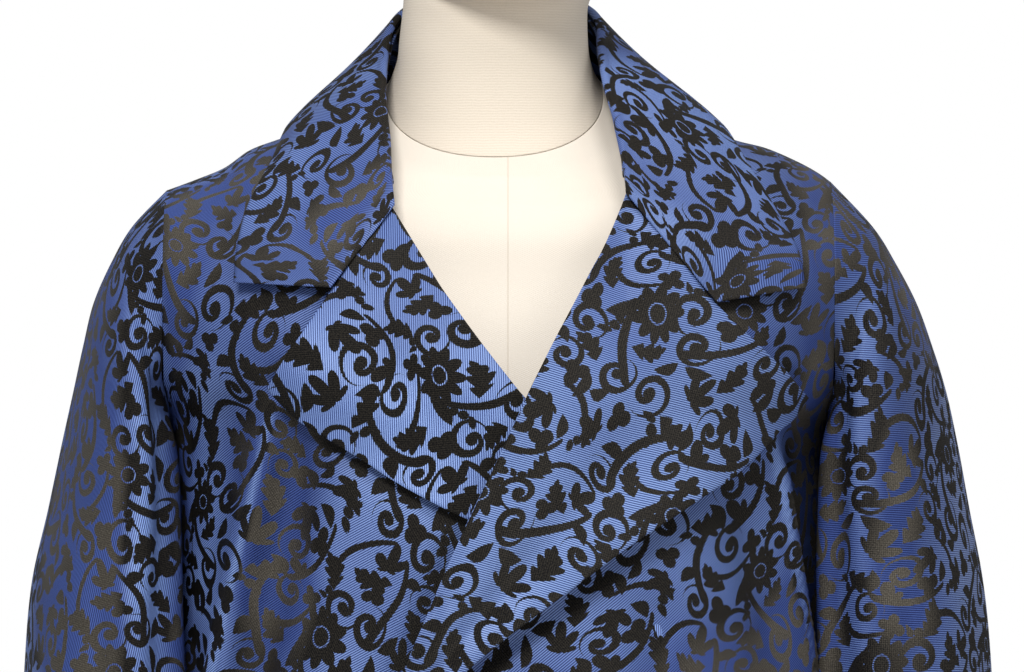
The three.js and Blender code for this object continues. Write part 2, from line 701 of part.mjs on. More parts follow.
function collarFall(colour) {
  const { fold, edge } = collarCurves();
  const steps = 2 * NOTCH_STEPS;
  const grid = [];
  for (let s = 0; s <= COLLAR_STEPS; s += 1) {
    const t = s / COLLAR_STEPS;
    const side = t < 0.5 ? 'right' : 'left';
    const notch = side === 'left' ? NOTCH_LEFT : NOTCH_RIGHT;
    const nearEnd = 1 - ramp(0, COLLAR_END, Math.min(t, 1 - t));
    const atEnd = s === 0 || s === COLLAR_STEPS;
    const top = fold.getPoint(t);
    const low = edge.getPoint(t);
    const out = outFromNeck(top);
    const crest = top.clone().add(out.clone().multiplyScalar((1 - nearEnd) * COLLAR_CREST));
    const middle = crest.clone().lerp(low, 0.5);
    middle.add(outFromNeck(middle).multiplyScalar(COLLAR_BULGE * (1 - nearEnd)));
    const notchX = SIGN[side] * (notch.x + SEAM);
    const bent = bodyPoint(notchX, notch.z + SEAM, false, turnedLift(NOTCH_STEPS, 1), '');
    const centre = middle.clone().lerp(bent, atEnd ? 1 : nearEnd * END_BEND);
    const pull = centre.clone().multiplyScalar(2).sub(crest.clone().add(low).multiplyScalar(0.5));
    const bow = new THREE.QuadraticBezierCurve3(crest, pull, low);
    const row = [];
    for (let i = 0; i <= steps; i += 1) {
      const v = i / steps;
      const upper = crest.clone().lerp(centre, v * 2);
      const lower = centre.clone().lerp(low, v * 2 - 1);
      const straight = v < 0.5 ? upper : lower;
      const point = bow.getPoint(v).lerp(straight, atEnd ? 1 : nearEnd);
      row.push(clearOfBody(point, turnedLift(i, 1)));
    }
    grid.push(row);
  }
  return wall('collar_fall', shifted(grid, WALL), grid, false, colour);
}

// The same grid moved along its own normals: away from the neck, or if negative towards it.
function shifted(grid, distance) {
  const rows = grid.length;
  const columns = grid[0].length;
  return grid.map((row, r) => row.map((point, c) => {
    const along = grid[Math.min(rows - 1, r + 1)][c].clone().sub(grid[Math.max(0, r - 1)][c]);
    const across = row[Math.min(columns - 1, c + 1)].clone().sub(row[Math.max(0, c - 1)]);
    return point.clone().sub(across.cross(along).normalize().multiplyScalar(distance));
  }));
}

function collarStand(colour) {
  const { fold, seam } = collarCurves();
  const grid = [];
  for (let s = 1; s < COLLAR_STEPS; s += 1) {
    const t = s / COLLAR_STEPS;
    const low = seam.getPoint(t);
    const top = fold.getPoint(t);
    const row = [];
    for (let i = 0; i <= STAND_STEPS; i += 1) {
      row.push(top.clone().lerp(low, i / STAND_STEPS));
    }
    grid.push(row);
  }
  return wall('collar_stand', grid, shifted(grid, -WALL), false, colour);
}

// ---- Dress form and stand ----

function formRings(rows) {
  return rows.map((row) => {
    const ring = [];
    for (let s = 0; s < FORM_SIDES; s += 1) {
      const turn = (2 * Math.PI * s) / FORM_SIDES;
      const across = Math.sign(Math.sin(turn)) * Math.abs(Math.sin(turn)) ** (2 / FORM_POWER);
      const along = -Math.sign(Math.cos(turn)) * Math.abs(Math.cos(turn)) ** (2 / FORM_POWER);
      const out = along * (along < 0 ? row.front : row.back);
      const x = row.across + row.half * across - row.turn * out;
      const z = row.z + out * (out < 0 ? row.frontTilt : row.backTilt);
      ring.push(new THREE.Vector3(x, SHOULDER_Y + out, z));
    }
    return ring;
  });
}

function lathe(name, profile, colour) {
  const points = profile.map(([radius, z]) => new THREE.Vector2(radius, z));
  const geometry = new THREE.LatheGeometry(points, LATHE_SIDES);
  geometry.rotateX(Math.PI / 2);
  const finish = { color: colour, roughness: METAL_ROUGHNESS, metalness: METALNESS };
  const material = new THREE.MeshStandardMaterial(finish);
  const mesh = new THREE.Mesh(geometry, material);
  mesh.name = name;
  return mesh;
}

// ---- The whole part ----

const plain = () => 0;
const coat = new THREE.Group();
coat.add(
  wall('front_left', frontGrid('left', EDGE_LEFT, wrapLift, 0),
    frontGrid('left', EDGE_LEFT, wrapLift, WALL), false, BLUE),
  wall('front_right', frontGrid('right', EDGE_RIGHT, plain, 0),
    frontGrid('right', EDGE_RIGHT, plain, WALL), false, BLUE),
  wall('back', backGrid(0), backGrid(WALL), false, BLUE),
  sleeve('left', 'sleeve_left', DARK_BLUE),
  sleeve('right', 'sleeve_right', DARK_BLUE),
  lapel('left', 'lapel_left', LAPEL_LEFT, NOTCH_LEFT, wrapLift, ROLL_LEFT, BLUE),
  lapel('right', 'lapel_right', LAPEL_RIGHT, NOTCH_RIGHT, plain, ROLL_RIGHT, BLUE),
  collarFall(DARK_BLUE),
  collarStand(DARK_BLUE),
);

const dressForm = new THREE.Group();
dressForm.add(
  lofted('form_torso', formRings(TORSO), CREAM),
  lofted('form_neck_head', formRings(NECK_HEAD), CREAM),
  lathe('stand_pole', [
    [0, BASE_HEIGHT + SEAM],
    [POLE_RADIUS, BASE_HEIGHT + SEAM],
    [POLE_RADIUS, FORM_BOTTOM_Z - SEAM],
    [0, FORM_BOTTOM_Z - SEAM],
  ], BRASS),
  lathe('stand_base', [
    [0, 0],
    [BASE_RADIUS, 0],
    [BASE_RADIUS, BASE_HEIGHT - BASE_CHAMFER],
    [BASE_RADIUS - BASE_CHAMFER, BASE_HEIGHT],
    [0, BASE_HEIGHT],
  ], BRASS),
);

const part = new THREE.Group();
part.add(coat, dressForm);
export default part;
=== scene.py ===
"""Opera coat of blue floral brocade on a limbless dress form.

Sizes are in millimetres until a mesh is made. The coat faces -Y, the wearer's left is +X.
"""
import math

import bpy
import numpy as np
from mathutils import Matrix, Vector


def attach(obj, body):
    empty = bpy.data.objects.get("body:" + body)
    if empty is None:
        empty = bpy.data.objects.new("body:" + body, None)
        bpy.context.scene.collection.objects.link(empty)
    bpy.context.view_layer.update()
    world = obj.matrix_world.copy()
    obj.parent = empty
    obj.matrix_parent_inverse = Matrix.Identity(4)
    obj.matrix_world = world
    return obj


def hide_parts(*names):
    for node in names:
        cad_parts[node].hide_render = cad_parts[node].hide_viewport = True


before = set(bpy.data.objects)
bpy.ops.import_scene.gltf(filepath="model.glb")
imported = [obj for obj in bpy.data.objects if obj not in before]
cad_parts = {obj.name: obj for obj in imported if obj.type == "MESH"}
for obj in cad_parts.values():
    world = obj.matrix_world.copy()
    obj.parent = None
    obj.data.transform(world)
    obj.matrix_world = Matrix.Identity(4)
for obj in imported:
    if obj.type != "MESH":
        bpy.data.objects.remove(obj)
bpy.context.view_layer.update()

MM = 0.001

# ---- Driving sizes, the same as the solids have ----

WALL = 2.0
HEM_Z = 270.0
UNDERARM_Z = 1240.0
NECK_X = 88.0
NECK_Z = 1432.0
NAPE_RISE = 20.0
SIDE_SEAM_Y = 20.0
SHOULDER_Y = 5.0
SHOULDER_SEAM_Z = 1370.0
SECTION_POWER = 2.3
WRAP_LIFT = 8.0
LAPEL_LIFT = 3.2
LAPEL_ROLL = 4.5
LAPEL_EDGE = 2.4
STAND_LIFT = 2.4
COLLAR_BULGE = 5.0
SLEEVE_POWER = 2.3
FORM_POWER = 2.2
BACK_RIDGE_RISE = 52.0
BACK_FLARE_PLACE = 0.93
ARM_X = {"left": 194.0, "right": 204.0}
SIGN = {"left": 1.0, "right": -1.0}


def table(columns, numbers):
    """An array for each named column of the numbers, which are written row by row."""
    names = columns.split()
    return dict(zip(names, np.array(numbers.split(), float).reshape(-1, len(names)).T))


BODY = table("z front back left right", """
270 255 222 338 338
500 232 196 292 292
700 210 172 254 254
835 196 155 232 232
1000 180 138 205 209
1093 173 130 195.5 203
1150 170 127 194 201.5
1190 169 126 192.5 201
1215 168 126 191.5 201
1240 168 127 193.7 203.7
1275 167 129 214 224
1310 165 130 221 231
1400 158 128 224 234
""")
SHOULDER = table("x left right", """
0 1462 1462  30 1458 1458  66 1443 1443  88 1432 1432  105 1424.5 1424
124 1416 1415.5  138 1410.5 1411  154 1406.5 1405  170 1400 1394  187 1391 1387
206 1376 1380
""")
TURN = table("x frontRise frontPower backRise backPower", """
0 205 1.5 195 1.7
66 200 1.5 150 1.8
88 184 1.6 130 1.9
124 150 1.8 110 2
206 68 2.1 68 2.1
""")
EDGE = {
    "left": table("z x", """
        270 -82  700 -78  1043 -73  1098 -58  1128 -46  1165 -31  1186 -22  1217 -7
        1257 11  1298 32  1329 48  1361 65  1376 70  1396 76  1416 83  1432 88
    """),
    "right": table("z x", """
        270 -104  700 -100  1110 -95  1165 -70  1214 -40  1257 -11  1273 4  1315 34
        1347 54  1368 67  1392 74  1415 82  1432 88
    """),
}
FLARES = table("place height width start", """
-0.78 15 0.07 1010  -0.52 -9 0.08 960  -0.27 12 0.09 900  0.08 -7 0.1 820
0.36 11 0.08 940  0.6 -8 0.07 980  0.8 16 0.06 1030
""")
SLEEVE = table("inZ outZ leftIn leftOut rightIn rightOut front back middle shear", """
1236 1359 194.6 219.5 204.6 225 86 84 12 0
1231 1337 194.8 234 204.8 238.5 88 84 10 0.04
1224 1313 194.6 247 204.6 249.5 88 82 8 0.08
1214 1288 194 256.5 204 256 86 80 6 0.13
1200 1261 193.2 265 203 262 84 78 4 0.18
1180 1229 192.6 272 202.4 269 82 76 2 0.22
1152 1190 192 279 201.5 277 80 74 0 0.25
1118 1146 192 287 200.5 286.5 78 72 -3 0.25
1080 1098 193 291.5 199.5 290.5 76 71 -6 0.25
1020 1028 203 294 207 293 74 69 -10 0.22
955 960 219 299 221 298 71 67 -15 0.18
895 897 232 305 233 304 68 65 -20 0.15
840 840 242 310 243 310 66 64 -25 0.12
""")
LAPEL = {
    "left": table("rollX rollZ edgeX edgeZ", """
        -72 1047 -67 1049  -66 1068 -48 1070  -58 1098 -25 1094  -46 1128 -6 1111
        -31 1165 35 1144  -14 1202 67 1170  1 1235 99 1193  20 1275 124 1212
        40 1314 143 1230  57 1346 156 1245  70 1376 169 1263
    """),
    "right": table("rollX rollZ edgeX edgeZ", """
        -94 1113 -89 1113  -84 1137 -62 1136  -70 1165 -28 1160  -48 1202 6 1178
        -25 1239 36 1192  -3 1266 62 1206  18 1293 85 1221  38 1321 104 1233
        54 1347 121 1245  67 1368 136 1265
    """),
}
NOTCH = {"left": (121.5, 1311.0), "right": (103.0, 1319.0)}
# The collar's stations from its right end by the nape to its left end.
COLLAR = table("foldX foldY foldZ edgeX edgeZ seamX seamZ behind", """
-66 -95 1370 -158 1323 -68 1374 0
-69 -81 1391 -157 1340 -74 1393 0
-72 -54 1412 -152 1364 -82 1413 0
-73.5 -30 1434 -139 1390 -86 1426 0
-72 0 1457 -126 1415 -88 1432 0
-67 28 1477 -112 1408 -80 1436 1
-54 52 1490 -88 1402 -60 1442 1
-31 69 1496 -48 1398 -32 1449 1
-4 76 1498 0 1396 0 1452 1
22 70 1496 46 1398 32 1449 1
43 54 1490 84 1402 60 1442 1
53 30 1480 108 1408 80 1436 1
55 0 1462 125 1414 88 1432 0
58.5 -30 1442 144 1386 86 1426 0
65 -54 1420 158 1362 82 1413 0
69 -79 1394 169 1341 76 1394 0
70 -93 1377 172 1321 71 1379 0
""")
FORM_COLUMNS = "z frontTilt backTilt half front back across turn"
TORSO = table(FORM_COLUMNS, """
800 0 0 150 106 112 0 0
812 0 0 158 112 118 0 0
860 0 0 170 119 128 0 0
940 0 0 158 108 118 0 0
1030 0 0 128 92 92 0 0
1120 0 0 143 108 100 0 0
1190 0 0 156 126 106 0 0
1240 0 0 162 133 110 0 0
1290 0 0 168 122 113 0 0
1330 0.03 0 171 108 110 0 0
1362 0.1 -0.02 170 100 102 0 0
1386 0.2 -0.05 163 90 92 -1 0
1400.5 0.3 -0.08 149 80 82 -2 0
1410 0.38 -0.08 127 74 70 -3 0
1417.5 0.45 -0.06 106 69 60 -4 0
1425 0.52 0 86 67 52 -6 0
1431 0.56 0.3 75 65 50 -7 0
1437 0.6 0.6 65.5 63 53 -7.5 0
""")
NECK_HEAD = table(FORM_COLUMNS, """
1437.1 0.6 0.6 65.2 62.8 52.8 -7.5 0
1446 0.52 0.5 61.5 59 53 -8 0
1458 0.36 0.35 58 57 54 -8 0
1472 0.18 0.18 56.5 56 55 -8 0
1490 0.05 0.08 55.5 55 58 -7 0
1499 0.04 0.1 57 58 61 -5 0.04
1510 0.18 0.2 60 80 64 -2 0.12
1522 0.2 0.25 63 90 68 0 0.12
1545 0.12 0.2 68 97 78 2 0.12
1585 0.04 0.08 74 100 91 3 0.12
1630 0 0 76 98 97 4 0.12
1670 0 0 68 84 90 4 0.12
1697 0 0 48 60 66 4 0.12
1710 0 0 22 28 32 4 0.12
""")

# Folds along lines that run from high to low. The height is negative for a trough, and soft
# is 1 for a swell, 0 for a fold that comes to an edge. The solids have FRONT_FOLDS only.
FOLD_COLUMNS = "xHigh zHigh xLow zLow height width soft"
SHARP_FALL = 1.3
FRONT_FOLD_FADES = 0.3, (2.2, 4.2)
CREASE_FADES = 0.25, (1.9, 3.6)
SLEEVE_CREASE_FADES = 0.3, (1.0, 1.5), 1.4
FRONT_FOLDS = table(FOLD_COLUMNS, """
-137 1257 -176 1092 9 12 1
-113 1215 -148 1092 -6 14 1
155 1243 184 1092 7 10 1
128 1215 158 1092 -4 13 1
""")
FRONT_CREASES = table(FOLD_COLUMNS, """
-137 1257 -176 1092 10 8 0
-121 1250 -153 1092 -14 14 1
-160 1275 -196 1092 -9 16 1
155 1243 184 1092 10 8 0
176 1262 199 1092 -15 15 1
134 1225 164 1092 -6 16 1
-90 1190 -104 1092 4 16 1
84 1150 96 1040 -5 15 1
40 1120 52 1000 4 18 1
""")
BACK_CREASES = table(FOLD_COLUMNS, """
-165 1270 -150 1050 -7 20 1
162 1265 146 1040 -8 22 1
-120 1330 -92 1060 4 18 1
118 1325 90 1050 4 18 1
-30 1180 -48 960 -4 24 1
42 1150 60 930 -5 22 1
""")
# The same for a sleeve, by the turn round it in place of x.
SLEEVE_CREASES = table(FOLD_COLUMNS, """
0.98 1300 1.02 1000 -5 0.2 1
1.42 1290 1.5 980 3.5 0.24 1
1.95 1180 1.7 960 -3 0.2 1
2.5 1150 2.2 900 2.5 0.24 1
1 1060 2.4 985 -3.5 0.22 1
3.9 1200 4.2 950 -3.5 0.25 1
5 1240 4.8 930 3 0.3 1
""")

# ---- Small maths ----


def ramp(start, end, at):
    t = np.clip((at - start) / (end - start), 0.0, 1.0)
    return t * t * (3 - 2 * t)


def mix(a, b, t):
    return a + (b - a) * t


def smooth(rows, key, column, at):
    """A smooth curve through a column of a table that never overshoots its rows."""
    xs = rows[key]
    ys = rows[column]
    at = np.clip(at, xs[0], xs[-1])
    i = np.clip(np.searchsorted(xs, at, side="left") - 1, 0, len(xs) - 2)
    slopes = np.diff(ys) / np.diff(xs)
    before = np.concatenate([slopes[:1], slopes])
    after = np.concatenate([slopes, slopes[-1:]])
    both = before + after
    both = np.where(both == 0, 1.0, both)
    tangents = np.where(before * after <= 0, 0.0, 2 * before * after / both)
    span = xs[i + 1] - xs[i]
    t = (at - xs[i]) / span
    rise = mix(ys[i], ys[i + 1], t * t * (3 - 2 * t))
    leave = span * tangents[i] * t * (1 - t) ** 2
    arrive = span * tangents[i + 1] * t * t * (t - 1)
    return rise + leave + arrive


def by_side(rows, key, at, x):
    return np.where(x < 0, smooth(rows, key, "right", at), smooth(rows, key, "left", at))


def round_off(share, power):
    return (1 - np.clip(share, 0.0, 1.0) ** power) ** (1 / power)


def oval(turn, power):
    """Sine and cosine of a turn, swollen towards a rounded square."""
    return [np.sign(s) * np.abs(s) ** (2 / power) for s in (np.sin(turn), np.cos(turn))]


def around(count):
    return 2 * math.pi * np.arange(count) / count


def unit(v):
    return v / np.maximum(np.linalg.norm(v, axis=-1, keepdims=True), 1e-9)


def along_rows(points, count):
    """Catmull-Rom through the first axis of an array, at count even steps."""
    last = len(points) - 1
    at = np.linspace(0, last, count)
    i = np.minimum(at.astype(int), last - 1)
    t = (at - i).reshape((-1,) + (1,) * (points.ndim - 1))
    before = points[np.maximum(i - 1, 0)]
    a, b = points[i], points[i + 1]
    after = points[np.minimum(i + 2, last)]
    return 0.5 * (
        2 * a + (b - before) * t
        + (2 * before - 5 * a + 4 * b - after) * t ** 2
        + (3 * a - before - 3 * b + after) * t ** 3
    )


def centripetal(points, t):
    """The curve through the points that has no loops, at shares t of the way along."""
    last = len(points) - 1
    before = 2 * points[0] - points[1]
    after = 2 * points[-1] - points[-2]
    padded = np.concatenate([[before], points, [after]])
    i = np.minimum((t * last).astype(int), last - 1)
    w = (t * last - i)[:, None]
    p0, p1, p2, p3 = padded[i], padded[i + 1], padded[i + 2], padded[i + 3]

    def gap(a, b):
        return np.maximum(np.sqrt(np.linalg.norm(a - b, axis=-1, keepdims=True)), 1e-4)

    d0, d1, d2 = gap(p0, p1), gap(p1, p2), gap(p2, p3)
    m1 = d1 * ((p1 - p0) / d0 - (p2 - p0) / (d0 + d1) + (p2 - p1) / d1)
    m2 = d1 * ((p2 - p1) / d1 - (p3 - p1) / (d1 + d2) + (p3 - p2) / d2)
    return (
        p1 + m1 * w + (3 * (p2 - p1) - 2 * m1 - m2) * w ** 2
        + (2 * (p1 - p2) + m1 + m2) * w ** 3
    )


def eased(count, ends, fine=(0.0012, 0.003, 0.006)):
    """0 to 1 in count steps, with finer steps at the chosen ends for a rounded edge."""
    start = fine if "start" in ends else ()
    end = 1 - np.array(fine if "end" in ends else ())
    return np.unique(np.concatenate([np.linspace(0, 1, count), start, end]))


def turned(uv, degrees, shift):
    angle = math.radians(degrees)
    cos, sin = math.cos(angle), math.sin(angle)
    u = uv[..., 0] * cos + uv[..., 1] * sin + shift[0]
    v = -uv[..., 0] * sin + uv[..., 1] * cos + shift[1]
    return np.stack([u, v], axis=-1)


# ---- The body's surface ----

NORMAL_STEP = 1.5


def seam_y(z):
    return mix(SIDE_SEAM_Y, SHOULDER_Y, ramp(UNDERARM_Z, SHOULDER_SEAM_Z, z))


def ridge_z(x, behind):
    reach = np.abs(x)
    ridge = by_side(SHOULDER, "x", reach, x)
    if behind:
        inner = NECK_Z + BACK_RIDGE_RISE * (1 - (reach / NECK_X) ** 2)
        return np.where(reach < NECK_X, inner, ridge)
    return ridge


def half_width(x, z):
    return by_side(BODY, "z", z, x)


def line_folds(rows, x, z, fade_in, fade_out, furthest=np.inf):
    """The folds of a table, faded in by a share of their length and out between two shares."""
    depth = np.zeros(np.broadcast(x, z).shape)
    for x_high, z_high, x_low, z_low, height, width, soft in zip(*rows.values()):
        t = (z_high - z) / (z_high - z_low)
        across = np.abs(x - mix(x_high, x_low, np.minimum(t, furthest))) / width
        shape = np.exp(-across ** 2) if soft else np.exp(-across * SHARP_FALL)
        depth = depth + height * ramp(0, fade_in, t) * (1 - ramp(*fade_out, t)) * shape
    return depth


def fold_depth(x, z, behind):
    share = x / half_width(x, z)
    depth = np.zeros(share.shape)
    for place, height, width, start in zip(*FLARES.values()):
        across = (share - (-place * BACK_FLARE_PLACE if behind else place)) / width
        depth = depth + height * ramp(start, HEM_Z, z) * np.exp(-across ** 2)
    return depth if behind else depth + line_folds(FRONT_FOLDS, x, z, *FRONT_FOLD_FADES)


def body_y(x, z, behind):
    reach = np.abs(x)
    name = "back" if behind else "front"
    full = smooth(BODY, "z", name, z) + fold_depth(x, z, behind)
    rise = smooth(TURN, "x", name + "Rise", reach)
    power = smooth(TURN, "x", name + "Power", reach)
    below = (ridge_z(x, behind) - z) / rise
    upper = round_off(1 - np.clip(below, 0, 1), power)
    depth = full * round_off(reach / half_width(x, z), SECTION_POWER) * upper
    return seam_y(z) + (depth if behind else -depth)


def body_point(x, z, behind, out):
    """Points of the body's face, moved out along its normal."""
    x, z, out = np.broadcast_arrays(*[np.asarray(values, float) for values in (x, z, out)])
    step = NORMAL_STEP * np.where(x < 0, -1.0, 1.0)
    y = body_y(x, z, behind)
    slope_x = (y - body_y(x - step, z, behind)) / step
    slope_z = (y - body_y(x, z - NORMAL_STEP, behind)) / NORMAL_STEP
    facing = 1.0 if behind else -1.0
    normal = unit(np.stack([-slope_x, np.ones_like(y), -slope_z], axis=-1) * facing)
    return np.stack([x, y, z], axis=-1) + normal * out[..., None]


def either_point(x, z, behind, out):
    """Points of the body's back face where behind holds, else of its front face."""
    front, back = body_point(x, z, False, out), body_point(x, z, True, out)
    return np.where(behind[..., None], back, front)


# ---- The silk's two sheens, painted into its colour as painted sheen and painted shade ----

# Painted sheen and painted shade: towards 1 the ground shines a painted pale blue and the motifs
# are black, towards 0 the ground is a painted navy shade and the motifs a painted grey sheen. Soft
# patches by x, z and reach, in front or behind, add to SHEEN_LEVEL: the pale ones paint sheen, the
# dark ones paint shade, among them in the troughs by the lapels and armholes.
SHEEN_LEVEL = 0.45
SHEEN_AND_SHADE_PATCHES = table("x z reachX reachZ behind amount", """
-62 1232 62 70 0 0.36
66 1205 78 66 0 0.42
0 1130 52 40 0 0.24
-126 1190 20 74 0 -0.2
-142 1110 18 70 0 -0.24
-80 1140 30 50 0 0.14
-196 1200 9 150 0 -0.4
-174 1140 12 90 0 0.3
-104 1130 14 60 0 0.16
-172 1316 40 42 0 -0.16
-92 1120 34 40 0 0.1
-213 1180 13 130 0 0.5
-250 1170 24 140 0 -0.8
-292 1130 12 90 0 0.3
-98 1366 48 40 0 -0.1
-166 1264 26 40 0 0.2
168 1286 26 40 0 0.12
186 1190 16 150 0 -0.5
128 1150 34 60 0 0.2
168 1110 20 60 0 -0.4
204 1200 12 120 0 0.25
234 1190 16 110 0 -0.36
272 1170 16 110 0 0.3
188 1350 36 30 0 -0.1
110 1370 50 40 0 0.06
-80 600 60 260 0 -0.3
90 560 50 240 0 0.26
-210 480 44 200 0 0.3
230 460 40 220 0 -0.26
0 1250 60 120 1 0.24
-130 1180 44 160 1 -0.3
120 1120 40 180 1 -0.24
-60 700 50 260 1 0.24
80 560 46 240 1 -0.3
230 480 40 200 1 0.26
""")
# A pale line of painted highlight along the fold crests, also standing for wear, and its width.
CREST_SHINE_AND_WEAR = 0.7
CREST_LINE_WIDTH = 2.2
# Painted sheen by piece: the lapels and the collar's fall painted paler and the fronts painted
# darker, so that the lapels' edges read against the fronts.
PIECE_SHEEN_AND_SHADE = {
    "coat_lapel_left": 0.16, "coat_lapel_right": 0.12, "coat_front_left": -0.1,
    "coat_front_right": -0.1, "coat_collar_fall": 0.08,
}


def crest_highlight_and_wear(x, z):
    """1 along the crests of the fronts' sharp folds, for a painted highlight that also stands for
    the silk worn there.
    """
    crests = dict(FRONT_CREASES)
    crests["height"] = 1 - crests["soft"]
    crests["width"] = np.full_like(crests["soft"], CREST_LINE_WIDTH)
    crests["soft"] = np.ones_like(crests["soft"])
    return line_folds(crests, x, z, 0.1, (1.3, 2.2))


# Each point's level of painted sheen and painted shade, 0 to 1.
def painted_sheen_and_shade_of(name, points):
    x, y, z = points.T
    back = ramp(-10, 50, y)
    level = np.full(x.shape, SHEEN_LEVEL + PIECE_SHEEN_AND_SHADE.get(name, 0.0))
    for patch_x, patch_z, reach_x, reach_z, behind, amount in zip(*SHEEN_AND_SHADE_PATCHES.values()):
        far = ((x - patch_x) / reach_x) ** 2 + ((z - patch_z) / reach_z) ** 2
        level = level + amount * np.exp(-far) * (back if behind else 1 - back)
    # A painted highlight along the fronts' fold crests, also standing for the silk worn there.
    if "front" in name:
        level = level + CREST_SHINE_AND_WEAR * crest_highlight_and_wear(x, z)
    return np.clip(level, 0, 1)


# ---- Meshes from grids ----

THICKNESS = WALL * 0.8
EDGE_ROUND = 1.5  # how far in from a free edge its rounding reaches
EDGE_LEAST = 0.12


def grid_normals(points, ring=False):
    if ring:
        across = np.roll(points, -1, axis=1) - np.roll(points, 1, axis=1)
    else:
        across = np.gradient(points, axis=1)
    return unit(np.cross(across, np.gradient(points, axis=0)))


def arc_lengths(points, axis):
    steps = np.linalg.norm(np.diff(points, axis=axis), axis=-1)
    pad = [(0, 0), (0, 0)]
    pad[axis] = (1, 0)
    return np.pad(np.cumsum(steps, axis=axis), pad)


def quads(cell):
    """The corners of every cell between a grid's rows and columns."""
    corners = [cell[:-1, :-1], cell[:-1, 1:], cell[1:, 1:], cell[1:, :-1]]
    return np.stack(corners, axis=-1).reshape(-1, 4)


def closed(grid):
    """A ring's grid with its first column again at the end."""
    return np.concatenate([grid, grid[:, :1]], axis=1)


def numbered(grid):
    return np.arange(grid.shape[0] * grid.shape[1]).reshape(grid.shape[:2])


def wall_faces(cell, inner, ring):
    """Faces of a closed wall: its outer points are numbered by cell, its inner ones inner more."""
    lines = [cell[0][::-1], cell[-1]]
    if not ring:
        lines += [cell[:, 0], cell[:, -1][::-1]]
    rims = [np.stack([e[:-1], e[1:], e[1:] + inner, e[:-1] + inner], axis=-1) for e in lines]
    outer = quads(cell)
    return np.concatenate([outer, outer[:, ::-1] + inner] + rims)


def placed(name, data):
    """A new object in the scene."""
    made = bpy.data.objects.new(name, data)
    bpy.context.scene.collection.objects.link(made)
    return made


def mesh_object(name, points, faces, uvs, material):
    """uvs holds one pair per corner, in the order of the faces."""
    mesh = bpy.data.meshes.new(name)
    mesh.from_pydata((points * MM).tolist(), [], faces)
    layer = mesh.uv_layers.new(name="cloth")
    layer.data.foreach_set("uv", (uvs * MM).astype(np.float32).ravel())
    mesh.shade_smooth()
    # Each point's painted sheen and painted shade, which the silk's colour follows.
    sheen = mesh.attributes.new("sheen", "FLOAT", "POINT")
    sheen.data.foreach_set("value", painted_sheen_and_shade_of(name, points).astype(np.float32))
    mesh.materials.append(material)
    mesh.update()
    return placed(name, mesh)


def shell(node, outer, uv, outward, free, ring=False):
    """A thin cloth wall under a grid of points, softly rounded along its free edges.

    outward is 1 where the grid's own normals point out of the garment, else -1. free names
    the free edges among low, high (first and last rows), near and far (columns).
    """
    normals = grid_normals(outer, ring) * outward
    edges = {"low": outer[:1], "high": outer[-1:], "near": outer[:, :1], "far": outer[:, -1:]}
    gap = np.full(outer.shape[:2], EDGE_ROUND)
    for edge in free.split():
        gap = np.minimum(gap, np.linalg.norm(outer - edges[edge], axis=-1))
    full = np.sqrt(1 - (1 - np.clip(gap / EDGE_ROUND, EDGE_LEAST, 1)) ** 2)[..., None]
    middle = outer - normals * THICKNESS / 2
    half = normals * THICKNESS / 2 * full
    points = np.concatenate([(middle + half).reshape(-1, 3), (middle - half).reshape(-1, 3)])
    cell = numbered(outer)
    faces = wall_faces(closed(cell) if ring else cell, cell.size, ring)
    corners = wall_faces(numbered(uv), 0, ring)
    if outward < 0:
        faces, corners = faces[:, ::-1], corners[:, ::-1]
    turn, shift = COAT[node][:2]
    flat = turned(uv, turn, shift).reshape(-1, 2)[corners.ravel()]
    return mesh_object("coat_" + node, points, faces.tolist(), flat, brocade)


def closed_loft(name, rings, material):
    """A filled solid through rings, with a point at the middle of each end."""
    rows, sides = rings.shape[:2]
    points = np.concatenate([rings.reshape(-1, 3), [rings[0].mean(0)], [rings[-1].mean(0)]])
    cell = closed(numbered(rings))
    faces = quads(cell).tolist()
    share = np.arange(sides + 1) / sides
    shares = quads(np.broadcast_to(share, (rows, sides + 1))).ravel().tolist()
    bottom, top = rows * sides, rows * sides + 1
    for s in range(sides):
        faces.append([bottom, int(cell[0, s + 1]), int(cell[0, s])])
        faces.append([top, int(cell[-1, s]), int(cell[-1, s + 1])])
        here, there = share[s], share[s + 1]
        shares += [here, there, here, here, here, there]
    heights = [points[i, 2] for face in faces for i in face]
    flat = np.stack([np.array(shares) * FORM_AROUND, heights], axis=-1)
    return mesh_object(name, points, faces, flat, material)


# ---- Node maths ----


class Field:
    """A number that varies over a surface: sums and products of it add maths nodes."""

    def __init__(self, tree, socket):
        self.tree = tree
        self.socket = socket

    def to(self, operation, *others, clamp=False):
        return maths(self.tree, operation, self, *others, clamp=clamp)

    def __rsub__(self, other):
        return maths(self.tree, "SUBTRACT", other, self)

    def times_plus(self, factor, term, clamp=False):
        return self.to("MULTIPLY_ADD", factor, term, clamp=clamp)

    def wrapped(self, half):
        return self.to("WRAP", half, -half)


for method, operation in {
    "__add__": "ADD", "__sub__": "SUBTRACT", "__mul__": "MULTIPLY", "__abs__": "ABSOLUTE",
    "sine": "SINE", "cosine": "COSINE", "least": "MINIMUM", "most": "MAXIMUM",
}.items():
    setattr(Field, method, lambda self, *others, name=operation: self.to(name, *others))


def fill(tree, socket, value):
    if isinstance(value, Field):
        value = value.socket
    if isinstance(value, bpy.types.NodeSocket):
        tree.links.new(value, socket)
    else:
        socket.default_value = value


def add_node(tree, kind, inputs=(), **settings):
    """A shader node with its settings, and with inputs by name or number."""
    node = tree.nodes.new("ShaderNode" + kind)
    for name, value in settings.items():
        setattr(node, name, value)
    for name, value in dict(inputs).items():
        fill(tree, node.inputs[name], value)
    return node


